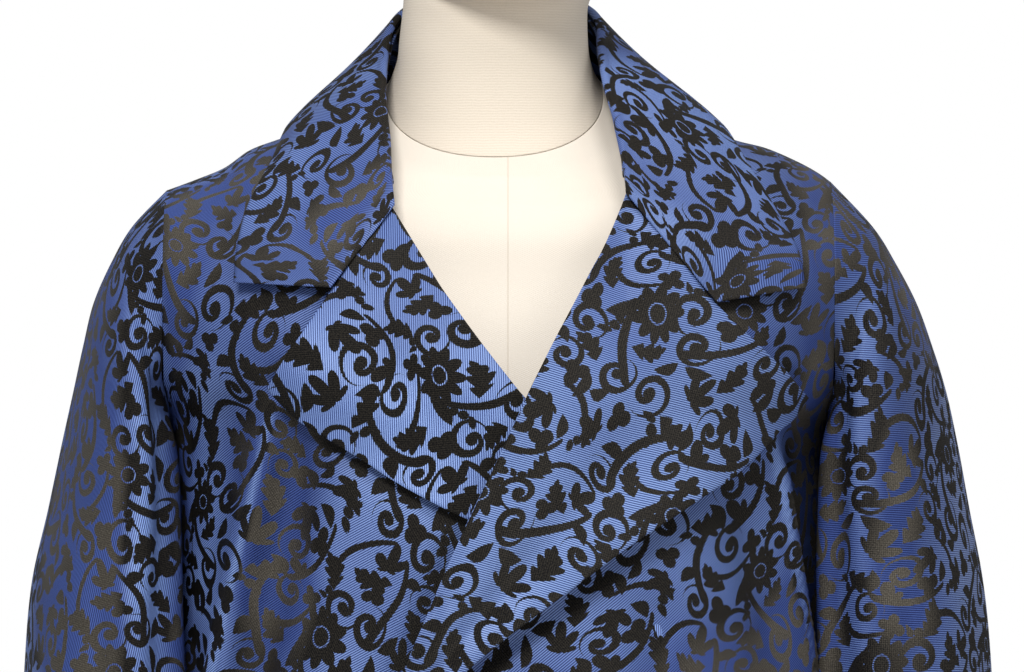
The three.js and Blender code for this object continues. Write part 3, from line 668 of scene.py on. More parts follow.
def maths(tree, operation, *values, clamp=False):
    node = add_node(tree, "Math", enumerate(values), operation=operation, use_clamp=clamp)
    return Field(tree, node.outputs["Value"])


def vectors(tree, operation, *values):
    return add_node(tree, "VectorMath", enumerate(values), operation=operation).outputs["Vector"]


def dot(tree, vector, other):
    node = add_node(tree, "VectorMath", {0: vector, 1: other}, operation="DOT_PRODUCT")
    return Field(tree, node.outputs["Value"])


def scaled(tree, vector, scale):
    inputs = {"Vector": vector, "Scale": scale}
    return add_node(tree, "VectorMath", inputs, operation="SCALE").outputs["Vector"]


def parts_of(tree, vector):
    """A vector's x, y and z."""
    split = add_node(tree, "SeparateXYZ", {"Vector": vector})
    return [Field(tree, socket) for socket in split.outputs]


def mixed(tree, share, first, second):
    """A mix of two colours, which are the node's sockets 6 and 7 and its output 2."""
    return add_node(tree, "Mix", {0: share, 6: first, 7: second}, data_type="RGBA").outputs[2]


def noise(tree, place, scale, detail):
    inputs = {"Vector": place, "Scale": scale, "Detail": detail}
    return add_node(tree, "TexNoise", inputs, noise_dimensions="2D").outputs


def grain(tree, place, scale, detail):
    return Field(tree, noise(tree, place, scale, detail)["Fac"])


def bumped(tree, height, strength):
    inputs = {"Strength": strength, "Distance": BUMP_DISTANCE, "Height": height}
    return add_node(tree, "Bump", inputs).outputs["Normal"]


def cloth_place(tree):
    """Millimetres across and up the cloth."""
    return scaled(tree, add_node(tree, "UVMap", uv_map="cloth").outputs["UV"], 1 / MM)


# ---- The brocade's motifs: millimetres inside the edge of one at x, y ----

CURL_PITCH = 0.86
BERRY_PITCH = 5.2


def radius_of(x, y):
    return x.times_plus(x, y * y).to("SQRT")


def angle_of(x, y):
    return y.to("ARCTAN2", x)


def lobes_of(angle, count, depth, least):
    return abs((angle * count).cosine()).times_plus(depth, least)


def curl(x, y, size, width, way):
    """A spiral stroke that winds in to a round end."""
    radius = radius_of(x, y)
    pitch = CURL_PITCH * size
    turns_in = angle_of(x, y).times_plus(-way * pitch / (2 * math.pi), radius)
    stroke = radius.times_plus(0.14 * width, 0.6 * width) - abs(turns_in.wrapped(pitch / 2))
    return stroke.least(size - radius).most(0.27 * size - radius)


def leaf(x, y, size, width, bend):
    share = x * x * (1 / size ** 2)
    return share.times_plus(-width, width) - abs(share.times_plus(-bend, y))


def stem(x, y, size, width, bend):
    """A bent stroke, thick at its foot, with round ends."""
    off_line = (x * x).times_plus(-bend / size ** 2, y)
    past_end = (abs(x) - size * 0.9).most(0.0)
    return x.times_plus(-0.2 * width / size, 0.5 * width) - radius_of(past_end, off_line)


def acanthus(x, y, size, width, bend):
    """A bent leaf with lobes along both edges."""
    share = x * x * (1 / size ** 2)
    off_rib = abs(share.times_plus(-bend, y))
    lobes = abs((x * (5.2 / size) - off_rib * 0.42).sine()).times_plus(0.65, 0.6)
    return share.times_plus(-width, width) * lobes - off_rib


def club(x, y, size, width, petals):
    """A leaf of three or four round lobes."""
    return lobes_of(angle_of(x, y), petals, 0.5 * size, 0.5 * size) - radius_of(x, y)


def flower(x, y, size, width, petals):
    """Round petals about a blue ring."""
    radius = radius_of(x, y)
    lobes = lobes_of(angle_of(x, y), petals, 0.34 * size, 0.66 * size)
    return (lobes - radius).least(abs(radius - 0.32 * size) - 0.055 * size)


def palmette(x, y, size, lobes, bend):
    """A fan of lobes that spreads from its foot."""
    angle = angle_of(x, y)
    reach = angle.cosine().times_plus(0.5 * size, 0.3 * size)
    return reach * lobes_of(angle, lobes, 0.6, 0.55) - radius_of(x, y)


def berries(x, y, size, width, bend):
    """A bent row of round berries."""
    off_row = (x * x).times_plus(-bend / size ** 2, y)
    radius = radius_of(x.wrapped(BERRY_PITCH / 2), off_row)
    return (width - radius).least(size - abs(x))


# The repeat, charted in millimetres and degrees, with three motifs in each line. Each
# column of tiles stands half a tile above the one before.
TILE_U = 82.0
TILE_V = 134.0
TILE_SKEW = TILE_V / 2 / TILE_U
REPEAT_SCALE = 1.14
MOTIF_COLUMNS = "u v angle size width bend"
PATTERN = {
    stem: """
        24 24 62 26.4 3.5 9  58 56 118 26.4 3.5 -9  22 93 75 24.2 3.3 -9
        62 113 40 22 3.1 8  42 82 10 16.5 2.4 6  71 16 160 17.6 2.6 6
        7 58 20 15.4 2.4 -6
    """,
    curl: """
        40 52 120 10.6 1 -1  9 13 250 10.1 1 1  42 29 20 9.5 1 1
        70 38 300 10.6 1 1  42 98 200 9 1 -1  9 111 80 10.6 1 -1
        78 91 160 10.1 1 1  47 124 30 9.5 1 1  18 69 330 8.4 1 1
    """,
    flower: "64 78 10 13.8 0 5",
    palmette: """
        18 44 70 15.4 3.5 0  27 124 80 17.6 4.5 0  56 7 250 16.5 3.5 0
        4 82 190 14.3 3.5 0  51 107 130 13.2 2.5 0
    """,
    acanthus: """
        37 13 100 9.9 5.1 3  49 42 160 9.4 4.6 3  30 80 130 9.4 4.6 -3
        75 111 100 9.9 4.8 3  11 38 150 9.9 4.8 -3  31 109 20 9.9 4.6 3
        73 60 40 9.9 4.8 3
    """,
    club: """
        53 24 40 7.2 0 1.5  33 64 100 7.2 0 1.5  13 29 300 6.1 0 1.5
        64 124 190 7.2 0 1.5  58 95 10 6.6 0 2  7 94 30 6.1 0 1.5
    """,
    leaf: """
        62 22 100 6.6 3.1 2  49 69 60 7.2 3.1 2  20 2 20 7.2 3.1 2
        33 38 170 6.1 2.9 2  16 84 20 6.6 3.1 -2  38 113 110 6.6 2.9 2
        6 127 60 7.2 3.1 2  69 3 120 6.1 2.9 2  72 24 40 5.5 2.6 2
    """,
    berries: """
        51 60 80 7.7 2.3 3  22 102 130 6.6 2.2 3  80 4 60 7.7 2.3 -3
        71 100 40 5.5 2.2 2
    """,
}


def motif_field(tree, place):
    """Millimetres inside the nearest motif's edge, negative on the ground."""
    u, v = parts_of(tree, scaled(tree, place, 1 / REPEAT_SCALE))[:2]
    level = add_node(tree, "CombineXYZ", {"X": u, "Y": u.times_plus(-TILE_SKEW, v)})
    half = (TILE_U / 2, TILE_V / 2, 1)
    field = None
    for motif, rows in PATTERN.items():
        for cu, cv, angle, size, width, bend in zip(*table(MOTIF_COLUMNS, rows).values()):
            centre = (cu, cv - TILE_SKEW * cu, 0)
            offset = vectors(tree, "SUBTRACT", level.outputs["Vector"], centre)
            offset = vectors(tree, "WRAP", offset, half, tuple(-h for h in half))
            cos, sin = math.cos(math.radians(angle)), math.sin(math.radians(angle))
            x = dot(tree, offset, (cos + sin * TILE_SKEW, sin, 0))
            y = dot(tree, offset, (cos * TILE_SKEW - sin, cos, 0))
            inside = motif(x, y, size, width, bend)
            field = field.most(inside) if field else inside
    return field * REPEAT_SCALE


# ---- Materials ----


def colour(red, green, blue):
    """A screen colour of 0 to 255, as linear light."""
    def linear(value):
        share = value / 255
        return share / 12.92 if share <= 0.04045 else ((share + 0.055) / 1.055) ** 2.4
    return (linear(red), linear(green), linear(blue), 1.0)


BUMP_DISTANCE = 0.0004
TWILL_PITCH = 1.3
TWILL_ANGLE = math.radians(30)
WARP_SCALE = 1 / 55.0
WARP_REACH = 15.0
THREAD_SCALE = 1.1
SLOW_SCALE = 1 / 90.0
# The twill's ribs and furrows in a painted pale sheen, then in a painted navy shade: lit and
# shaded copies of the one blue ground.
SHEEN_PALE_RIB = colour(140, 168, 222)
SHEEN_PALE_FURROW = colour(40, 56, 116)
SHADE_NAVY_RIB = colour(70, 90, 152)
SHADE_NAVY_FURROW = colour(32, 42, 90)
MOTIF_GROWTH = 0.55
MOTIF_SHARPNESS = 2.6
EDGE_RAGGED = 0.9
EDGE_STEP = 0.14
# The motifs' own black with a brown fleck, and the grey of a painted sheen on them where the
# ground is painted navy.
MOTIF_BLACK = colour(16, 16, 18)
MOTIF_BROWN = colour(56, 52, 46)
MOTIF_SHEEN_GREY = colour(102, 96, 86)
GROUND_TINT = (0.72, 0.82, 1.0, 1)
MOTIF_TINT = (1.0, 0.93, 0.82, 1)
SEAM_X = 0.6
WEAVE_TURNS = 5.2
JERSEY_PITCH = 1.6
COVER_PALE = colour(226, 216, 202)
COVER_DEEP = colour(209, 197, 180)
JERSEY_PALE = colour(227, 215, 198)
JERSEY_DEEP = colour(210, 196, 176)
METAL_PALE = colour(168, 158, 138)
METAL_DEEP = colour(122, 112, 94)
STAGE_WHITE = colour(243, 243, 243)


def new_material(name, **plain):
    """A material with its shader's plain inputs set, its node tree and the shader's inputs."""
    material = bpy.data.materials.new(name)
    material.use_nodes = True
    inputs = material.node_tree.nodes["Principled BSDF"].inputs
    for name, value in plain.items():
        inputs[name.replace("_", " ")].default_value = value
    return material, material.node_tree, inputs


def brocade_material():
    material, tree = new_material("silk_brocade")[:2]
    tree.nodes.remove(tree.nodes["Principled BSDF"])
    place = cloth_place(tree)
    drift = noise(tree, place, WARP_SCALE, 0.0)["Color"]
    drift = vectors(tree, "SUBTRACT", drift, (0.5, 0.5, 0.5))
    drift = vectors(tree, "MULTIPLY", drift, (WARP_REACH, WARP_REACH, 0))
    field = motif_field(tree, vectors(tree, "ADD", place, drift))
    turns = 2 * math.pi / TWILL_PITCH
    cos, sin = math.cos(TWILL_ANGLE) * turns, math.sin(TWILL_ANGLE) * turns
    ribs = dot(tree, place, (-sin, cos, 0)).sine()
    cross_ribs = dot(tree, place, (cos, sin, 0)).sine()
    threads = grain(tree, place, THREAD_SCALE, 1.0)
    slow = grain(tree, place, SLOW_SCALE, 1.0)
    ragged = threads.times_plus(EDGE_RAGGED, MOTIF_GROWTH - EDGE_RAGGED / 2)
    stepped = field + ribs.times_plus(EDGE_STEP, ragged)
    motif = stepped.times_plus(MOTIF_SHARPNESS, 0.5, clamp=True)
    bump = bumped(tree, ribs * 0.5 + threads, 0.35)
    tangent = add_node(tree, "Tangent", direction_type="UV_MAP", uv_map="cloth")

    def silk(base, roughness, tint, level, lean):
        """One of the two silks, whose shine leans along the cloth."""
        aside = scaled(tree, tangent.outputs["Tangent"], lean)
        normal = vectors(tree, "NORMALIZE", vectors(tree, "ADD", bump, aside))
        return add_node(tree, "BsdfPrincipled", {
            "Base Color": base, "Roughness": roughness, "Specular Tint": tint,
            "Specular IOR Level": level, "Normal": normal}).outputs["BSDF"]

    # The painted sheen attribute, made uneven by slow noise: it mixes the ground between a painted
    # pale sheen and a painted navy shade, and the motifs between black and a painted grey sheen.
    sheen = Field(tree, add_node(tree, "Attribute", attribute_name="sheen").outputs["Fac"])
    uneven_sheen = (slow - 0.5).times_plus(0.9, sheen)
    shine = uneven_sheen.times_plus(1.35, -0.3, clamp=True)
    # 1 where the motifs keep their own black, 0 where they take the painted grey sheen.
    blackness = uneven_sheen.times_plus(3.0, -0.25, clamp=True)
    rib_share = ribs.times_plus(0.8, 0.5, clamp=True)
    pale = mixed(tree, rib_share, SHEEN_PALE_RIB, SHEEN_PALE_FURROW)
    navy = mixed(tree, rib_share, SHADE_NAVY_RIB, SHADE_NAVY_FURROW)
    ground = silk(
        mixed(tree, shine, navy, pale), 0.45, GROUND_TINT,
        shine.times_plus(0.45, 0.15), slow * 0.5)
    woven = cross_ribs.times_plus(0.22, threads * 1.5)
    speckle = woven.to("ADD", -0.45, clamp=True)
    lit_motif = mixed(tree, speckle, MOTIF_BLACK, MOTIF_BROWN)
    # The motifs under a painted grey sheen.
    sheen_grey_motif = mixed(tree, speckle, MOTIF_BROWN, MOTIF_SHEEN_GREY)
    raised = silk(
        mixed(tree, blackness, sheen_grey_motif, lit_motif), 0.5, MOTIF_TINT,
        blackness.times_plus(-0.2, 0.28), slow * -0.5)
    both = add_node(tree, "MixShader", {0: motif, 1: ground, 2: raised})
    fill(tree, tree.nodes["Material Output"].inputs["Surface"], both.outputs["Shader"])
    return material


def cover_material():
    """Cream cotton, plain woven, with a seam down the middle of the front and of the back."""
    material, tree, inputs = new_material("form_cover", Roughness=0.88)
    place = cloth_place(tree)
    level, up = parts_of(tree, place)[:2]
    weave = (level * WEAVE_TURNS).sine() * (up * WEAVE_TURNS).sine()
    x = parts_of(tree, add_node(tree, "TexCoord").outputs["Object"])[0]
    seam = abs(x * (1 / MM) - SEAM_X).times_plus(-1.4, 1.0, clamp=True)
    slow = grain(tree, place, 1 / 60.0, 2.0)
    shade = (slow * 0.35).to("ADD", seam * 0.9, clamp=True)
    fill(tree, inputs["Base Color"], mixed(tree, shade, COVER_PALE, COVER_DEEP))
    fill(tree, inputs["Normal"], bumped(tree, weave * 0.3 - seam * 2.0, 0.3))
    return material


def jersey_material():
    """Cream jersey with fine level ribs."""
    material, tree, inputs = new_material("form_jersey", Roughness=0.92)
    place = cloth_place(tree)
    wobble = grain(tree, place, 1 / 9.0, 1.0)
    up = parts_of(tree, place)[1]
    ribs = (up * (2 * math.pi / JERSEY_PITCH) + wobble * 3.0).sine()
    threads = grain(tree, place, 0.9, 1.0)
    shade = ribs.times_plus(0.2, threads * 0.6, clamp=True)
    fill(tree, inputs["Base Color"], mixed(tree, shade, JERSEY_PALE, JERSEY_DEEP))
    fill(tree, inputs["Normal"], bumped(tree, ribs * 0.5 + threads * 0.5, 0.16))
    return material


def metal_material():
    """Brushed warm metal."""
    material, tree, inputs = new_material("stand_metal", Metallic=0.85)
    brushed = grain(tree, cloth_place(tree), 0.35, 3.0)
    fill(tree, inputs["Base Color"], mixed(tree, brushed, METAL_PALE, METAL_DEEP))
    fill(tree, inputs["Roughness"], brushed.times_plus(0.25, 0.28))
    return material


brocade = brocade_material()

# ---- The coat's pieces ----

# Each piece's place on the repeat, in degrees and millimetres. Then its cut: the flat size in
# metres across and down, its area in square metres, how it's held, and what it rests on.
COAT = {
    "front_left": (10, (37, 81), (0.57, 1.265), 0.477, "draped", ["form_torso"]),
    "front_right": (0, (0, 0), (0.575, 1.26), 0.503, "draped", ["form_torso"]),
    "back": (0, (60, 20), (0.915, 1.235), 0.773, "draped", ["form_torso"]),
    "sleeve_left": (-33, (15, 40), (0.495, 0.575), 0.189, "hung", ["front_left", "back"]),
    "sleeve_right": (47, (90, 12), (0.485, 0.565), 0.182, "hung", ["front_right", "back"]),
    "lapel_left": (-46, (10, 65), (0.135, 0.365), 0.0298, "folded", ["front_left"]),
    "lapel_right": (62, (45, 120), (0.115, 0.31), 0.0208, "folded", ["front_right"]),
    "collar_fall": (-60, (0, 0), (0.705, 0.156), 0.0634, "folded", ["collar_stand", "back"]),
    "collar_stand": (0, (0, 0), (0.47, 0.052), 0.0144, "folded", ["back"]),
}

# ---- Fronts and back ----

SEAM_GAP = 0.03
SKIRT_ROWS = 150
UPPER_ROWS = 84
FRONT_COLUMNS = 110
BACK_COLUMNS = 150
SEAM_FADE = 9.0
TUCK_DEPTH = 4.5  # how far a front sinks along an edge that lies on it
TUCK_REACH = 8.0
TUCK_STEPS = 160
FLAT_TURN = np.linspace(-math.pi / 2, math.pi / 2, 301)
FLAT_STEP = 4.0
FLAT_Z = np.arange(HEM_Z, 1486.0, FLAT_STEP)


def front_lift(x, z, side):
    """How far a front stands off the body's face: the left one lies over the right one."""
    over = WRAP_LIFT * (1 - ramp(100, 172, x)) * (1 - ramp(1230, 1335, z))
    return over if side == "left" else 0 * over


def flat_map(behind):
    """Millimetres across and up the body's cloth as it would lie flat, by turn and height."""
    turn, z = np.meshgrid(FLAT_TURN, FLAT_Z)
    x = half_width(turn, z) * np.sin(turn)
    y = body_y(x, np.minimum(z, ridge_z(x, behind)), behind)
    steps = np.hypot(np.diff(x, axis=1), np.diff(y, axis=1))
    across = np.pad(np.cumsum(steps, axis=1), ((0, 0), (1, 0)))
    across = across - across[:, len(FLAT_TURN) // 2][:, None]
    steps = np.hypot(np.diff(y, axis=0), FLAT_STEP)
    up = np.pad(np.cumsum(steps, axis=0), ((1, 0), (0, 0)))
    return np.stack([across, up], axis=-1)


FLAT = {False: flat_map(False), True: flat_map(True)}


def panel_uv(points, behind=False):
    """Where points of the body lie on its flattened cloth, in millimetres."""
    x, z = points[..., 0], points[..., 2]
    turn = np.arcsin(np.clip(x / half_width(x, z), -1, 1))
    last_column, last_row = len(FLAT_TURN) - 1, len(FLAT_Z) - 1
    column = np.clip((turn / math.pi + 0.5) * last_column, 0, last_column - 0.001)
    row = np.clip((z - HEM_Z) / FLAT_STEP, 0, last_row - 0.001)
    c, r = column.astype(int), row.astype(int)
    s, t = (column - c)[..., None], (row - r)[..., None]
    flat = FLAT[behind]
    low = mix(flat[r, c], flat[r, c + 1], s)
    high = mix(flat[r + 1, c], flat[r + 1, c + 1], s)
    return mix(low, high, t)


def side_x(z, side, gap=0.0):
    """How far out a panel's side seam is, and its armhole above that."""
    return np.where(z > UNDERARM_Z, ARM_X[side] - gap, smooth(BODY, "z", side, z))


def seam_fade(x, z, side):
    """1 on the cloth, 0 at the armhole and side seams, so that the pieces still meet."""
    return ramp(0, SEAM_FADE, side_x(z, side) - np.abs(x))


def tuck(x, z, edge_x, edge_z):
    """A trough of the front along an edge, given by the places of its points."""
    each = np.arange(len(edge_x))
    at = np.linspace(0, each[-1], TUCK_STEPS)
    near = np.full(x.shape, np.inf)
    for one_x, one_z in zip(np.interp(at, each, edge_x), np.interp(at, each, edge_z)):
        near = np.minimum(near, (x - one_x) ** 2 + (z - one_z) ** 2)
    return -TUCK_DEPTH * np.exp(-near / TUCK_REACH ** 2)


def front_detail(x, z, side):
    depth = line_folds(FRONT_CREASES, x, z, *CREASE_FADES)
    depth = depth + tuck(x, z, SIGN[side] * LAPEL[side]["edgeX"], LAPEL[side]["edgeZ"])
    if side == "right":
        depth = np.minimum(depth, tuck(x, z, EDGE["left"]["x"], EDGE["left"]["z"]))
    return depth * seam_fade(x, z, side)


def back_detail(x, z):
    fade = np.where(x < 0, seam_fade(x, z, "right"), seam_fade(x, z, "left"))
    return line_folds(BACK_CREASES, x, z, *CREASE_FADES) * fade


def panel_grid(across, in_of, out_of, top_of):
    """A panel's x and z: level rows up to the underarm, then rows that reach its top."""
    skirt_z = mix(HEM_Z, UNDERARM_Z, eased(SKIRT_ROWS, "start"))
    up = np.linspace(0, 1, UPPER_ROWS)[1:]
    level = np.append(skirt_z, mix(UNDERARM_Z, NECK_Z, up))[:, None]
    x = mix(in_of(level), out_of(level), across)
    z = level + 0 * x
    z[len(skirt_z):] = mix(UNDERARM_Z, top_of(x[len(skirt_z):]), up[:, None])
    return x, z


def front_points(side):
    across = eased(FRONT_COLUMNS, "start")
    x, z = panel_grid(
        mix(across, np.sin(math.pi / 2 * across), 0.75),
        lambda z: SIGN[side] * smooth(EDGE[side], "z", "x", z),
        lambda z: SIGN[side] * side_x(z, side, SEAM_GAP),
        lambda x: np.minimum(NECK_Z, ridge_z(x, False)))
    return body_point(x, z, False, front_lift(x, z, side) + front_detail(x, z, side))


def back_top(x):
    nape = NECK_Z + NAPE_RISE * (1 - (x / NECK_X) ** 2)
    return np.where(np.abs(x) < NECK_X, nape, ridge_z(x, True))


def back_points():
    across = np.linspace(0, 1, BACK_COLUMNS)
    x, z = panel_grid(
        mix(across, (1 - np.cos(math.pi * across)) / 2, 0.8),
        lambda z: -side_x(z, "right", SEAM_GAP), lambda z: side_x(z, "left", SEAM_GAP), back_top)
    return body_point(x, z, True, back_detail(x, z))


for side, outward in SIGN.items():
    front_grid = front_points(side)
    shell("front_" + side, front_grid, panel_uv(front_grid), outward, "low near")
back_grid = back_points()
shell("back", back_grid, panel_uv(back_grid, True), -1, "low")

# ---- Sleeves ----

SLEEVE_SIDES = 112
SLEEVE_LENGTHS = 130
SLEEVE_FOLD = 9.0  # how far the sleeve's front folds in over the body's side
SLEEVE_FOLD_TURN = 0.68
SLEEVE_FOLD_WIDTH = 0.34


def sleeve_points(side):
    turn = around(SLEEVE_SIDES)
    x = np.full(turn.shape, ARM_X[side] + SEAM_GAP)
    z = mix(UNDERARM_Z, ridge_z(SIGN[side] * x, False), (1 - np.cos(turn)) / 2)
    y = np.where(turn > math.pi, body_y(SIGN[side] * x, z, True), body_y(SIGN[side] * x, z, False))
    rings = [np.stack([x, y, z], axis=-1)]
    along, across = oval(turn, SLEEVE_POWER)
    share = (1 - across) / 2
    for r in range(len(SLEEVE["inZ"])):
        row = {name: values[r] for name, values in SLEEVE.items()}
        y = row["middle"] - np.where(along > 0, row["front"], row["back"]) * along
        in_x, out_x = row[side + "In"], row[side + "Out"]
        raw = mix(in_x, out_x, share) + row["shear"] * (y - row["middle"])
        x = mix(in_x, out_x, (raw - raw.min()) / (raw.max() - raw.min()))
        rings.append(np.stack([x, y, mix(row["inZ"], row["outZ"], share)], axis=-1))
    grid = along_rows(np.array(rings), SLEEVE_LENGTHS)
    height = ramp(1275, 1222, grid[..., 2]) * ramp(860, 1000, grid[..., 2])
    inward = np.exp(-((turn - SLEEVE_FOLD_TURN) / SLEEVE_FOLD_WIDTH) ** 2)
    grid[..., 0] -= SLEEVE_FOLD * inward * height
    grid[..., 0] *= SIGN[side]
    normals = grid_normals(grid, True) * -SIGN[side]
    folds = line_folds(SLEEVE_CREASES, turn[None, :], grid[..., 2], *SLEEVE_CREASE_FADES)
    return grid + normals * folds[..., None]


def sleeve_uv(grid, side):
    """Level round the sleeve, from its foremost line in front and its rearmost behind, and up."""
    whole = closed(grid)
    level = arc_lengths(whole * np.array([1, 1, 0]), 1) * SIGN[side]
    front, rear = SLEEVE_SIDES // 4, SLEEVE_SIDES * 3 // 4
    from_front = whole[:, front:front + 1, 0] + level - level[:, front:front + 1]
    from_rear = from_front[-1, rear] + level - level[:, rear:rear + 1]
    behind = ramp(0.38, 0.6, np.linspace(0, 1, SLEEVE_SIDES + 1))
    return np.stack([mix(from_front, from_rear, behind), whole[..., 2]], axis=-1)


for side, outward in SIGN.items():
    sleeve_grid = sleeve_points(side)
    shell("sleeve_" + side, sleeve_grid, sleeve_uv(sleeve_grid, side), -outward, "high", ring=True)

# ---- Lapels ----

NOTCH_STEP = 4
LAST_STEP = 2 * NOTCH_STEP
LAPEL_ROWS = 90
LAPEL_COLUMNS = 73
LAPEL_SPRING = 9.0  # how far the cloth's free edge springs past the solid's
LAPEL_ROLLS = {"left": (1043, 1130), "right": (1215, 1290)}  # heights the roll comes in between
PUCKER = (-41.0, 1132.0)  # a small stitched pucker on the over front's leading fold


def turned_lift(step, rolled):
    t = step / LAST_STEP
    roll = LAPEL_ROLL * np.sin(math.pi * np.minimum(1, t * 1.7)) ** 2
    return LAPEL_LIFT + rolled * (roll + LAPEL_EDGE * ramp(0.2, 1, t))


def pucker(x, z):
    aside, above = x - PUCKER[0], z - PUCKER[1]
    away = aside ** 2 + above ** 2
    gathers = 0.5 * np.cos(0.9 * (above + 0.5 * aside)) * np.exp(-away / 200)
    return 1.8 * np.exp(-away / 26) - gathers


def lapel_points(side):
    rows = np.stack(list(LAPEL[side].values()), axis=-1)
    last = len(rows) - 1
    top_roll, top_edge, notch = rows[-1, :2], rows[-1, 2:], np.array(NOTCH[side])
    before, after = math.dist(notch, top_roll), math.dist(notch, top_edge)
    notch_share = before / (before + after)
    step = LAST_STEP * eased(LAPEL_COLUMNS, "start end", (0.0025, 0.00625))[None, :]
    share = np.where(
        step <= NOTCH_STEP, notch_share * step / NOTCH_STEP,
        mix(notch_share, 1.0, step / NOTCH_STEP - 1))
    at = last * eased(LAPEL_ROWS, "start end")
    curve, curve_at = along_rows(rows, 400), np.linspace(0, last, 400)
    roll_x, roll_z, edge_x, edge_z = [np.interp(at, curve_at, line)[:, None] for line in curve.T]
    bend = ramp(last - 2, last, at)[:, None]
    pull = bend * (1 - np.abs(step / NOTCH_STEP - 1))
    to_notch = notch - mix(top_roll, top_edge, notch_share)
    x = SIGN[side] * (mix(roll_x, edge_x, share) + pull * to_notch[0])
    z = mix(roll_z, edge_z, share) + pull * to_notch[1]
    rolled = ramp(*LAPEL_ROLLS[side], z)
    spring = LAPEL_SPRING * ramp(0.4, 1, step / LAST_STEP) * rolled
    lift = front_lift(x, z, side) + turned_lift(step, rolled)
    return body_point(x, z, False, lift + spring - pucker(x, z))


for side, outward in SIGN.items():
    lapel_grid = lapel_points(side)
    shell("lapel_" + side, lapel_grid, panel_uv(lapel_grid), outward, "low high near far")

# ---- Collar ----

COLLAR_STEPS = 26
COLLAR_ROWS = 150
COLLAR_COLUMNS = 49
CREST_OUT = WALL + 2.6
CLEAR_EASE = 7.0
ROLL_TURNS = [150, 132, 114, 96, 78, 60, 42, 26, 12]
ROLL_RISE = 1.25


def collar_curve(kind, t):
    """The collar's fold, edge or seam at shares t of the way round the neck."""
    if kind == "fold":
        points = np.stack([COLLAR["fold" + axis] for axis in "XYZ"], axis=-1)
    else:
        lift = LAPEL_LIFT + LAPEL_EDGE if kind == "edge" else STAND_LIFT
        x, z = COLLAR[kind + "X"], COLLAR[kind + "Z"]
        points = either_point(x, z, COLLAR["behind"] == 1, lift)
    return centripetal(points, t)


def out_from_neck(points):
    shifted = points + np.array([5.0, -5.0, 0.0])
    shifted[..., 2] = 35.0
    return unit(shifted)


def clear_of_body(points, lift):
    """Points of the collar eased off the body's face, so that none is nearer than lift."""
    x, y, z = points[..., 0], points[..., 1], points[..., 2]
    behind = y > seam_y(z)
    ridge = np.where(behind, ridge_z(x, True), ridge_z(x, False))
    facing = np.where(behind, 1.0, -1.0)
    above = (y - either_point(x, z, behind, lift)[..., 1]) * facing
    eased_above = (above + np.sqrt(above ** 2 + CLEAR_EASE ** 2)) / 2
    lifted = points.copy()
    lifted[..., 1] = y + ramp(ridge + 4, ridge - 10, z) * (eased_above - above) * facing
    return lifted


def collar_fall_points():
    """The fall's points, its fold line, and how full its roll is along it."""
    t = eased(COLLAR_ROWS, "start end", (0.001, 0.0025))
    step = np.linspace(0, LAST_STEP, COLLAR_COLUMNS)[None, :]
    ends = np.minimum(t, 1 - t)
    near_end = (1 - ramp(0, 0.12, ends))[:, None]
    last_step = np.clip(1 - ends * COLLAR_STEPS, 0, 1)[:, None]
    top = collar_curve("fold", t)
    low = collar_curve("edge", t)
    crest = top + out_from_neck(top) * (1 - near_end) * CREST_OUT
    middle = (crest + low) / 2
    middle = middle + out_from_neck(middle) * COLLAR_BULGE * (1 - near_end)
    bent = np.zeros(middle.shape)
    for side, (notch_x, notch_z) in NOTCH.items():
        x, lift = SIGN[side] * (notch_x + 0.3), turned_lift(NOTCH_STEP, 1)
        bent[(t < 0.5) == (side == "right")] = body_point(x, notch_z + 0.3, False, lift)
    centre = mix(middle, bent, mix(near_end * 0.5, 1.0, last_step))
    v = (step / LAST_STEP)[..., None]
    crest, centre, low = crest[:, None], centre[:, None], low[:, None]
    straight = np.where(v < 0.5, mix(crest, centre, v * 2), mix(centre, low, v * 2 - 1))
    control = 2 * centre - (crest + low) / 2
    rounded = crest * (1 - v) ** 2 + 2 * control * v * (1 - v) + low * v ** 2
    points = mix(rounded, straight, mix(near_end, 1.0, last_step)[..., None])
    lift = np.broadcast_to(turned_lift(step, 1), points.shape[:2])
    return clear_of_body(points, lift), top, 1 - near_end


def with_roll(grid, inner, fullness):
    """The fall's grid, with rows that roll over its crest towards the stand's top, inner."""
    crest = grid[:, :1]
    middle = (crest + inner[:, None]) / 2
    across = crest - middle
    along = unit(np.gradient(crest[:, 0], axis=0))[:, None]
    upward = unit(np.cross(along, across))
    upward = upward * np.sign(upward[..., 2:3] + 1e-9)
    turn = np.radians(ROLL_TURNS)[None, :, None]
    size = np.linalg.norm(across, axis=-1, keepdims=True)
    rise = upward * size * ROLL_RISE * np.sin(turn) * fullness[:, None]
    return np.concatenate([middle + across * np.cos(turn) + rise, grid], axis=1)


def collar_stand_points(rows=130, columns=9):
    t = np.linspace(1, COLLAR_STEPS - 1, rows) / COLLAR_STEPS
    low, top = collar_curve("seam", t)[:, None], collar_curve("fold", t)[:, None]
    return mix(top, low, np.linspace(0, 1, columns)[None, :, None])


flat_fall, fold_line, fullness = collar_fall_points()
fall_grid = with_roll(flat_fall - grid_normals(flat_fall) * WALL, fold_line, fullness)
fall_along = arc_lengths(flat_fall[:, COLLAR_COLUMNS // 2][:, None], 0)
fall_along = fall_along - fall_along[len(fall_along) // 2]
fall_down = -arc_lengths(fall_grid, 1)
fall_uv = np.stack([fall_along + 0 * fall_down, fall_down], axis=-1)
shell("collar_fall", fall_grid, fall_uv, -1, "low high near far")
stand_grid = collar_stand_points()
stand_uv = np.stack([arc_lengths(stand_grid, axis) for axis in (0, 1)], axis=-1)
shell("collar_stand", stand_grid, stand_uv, -1, "low high")

for node, (turn, shift, flat, area, held, rests_on) in COAT.items():
    piece = bpy.data.objects["coat_" + node]
    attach(piece, "root")
    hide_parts(node)

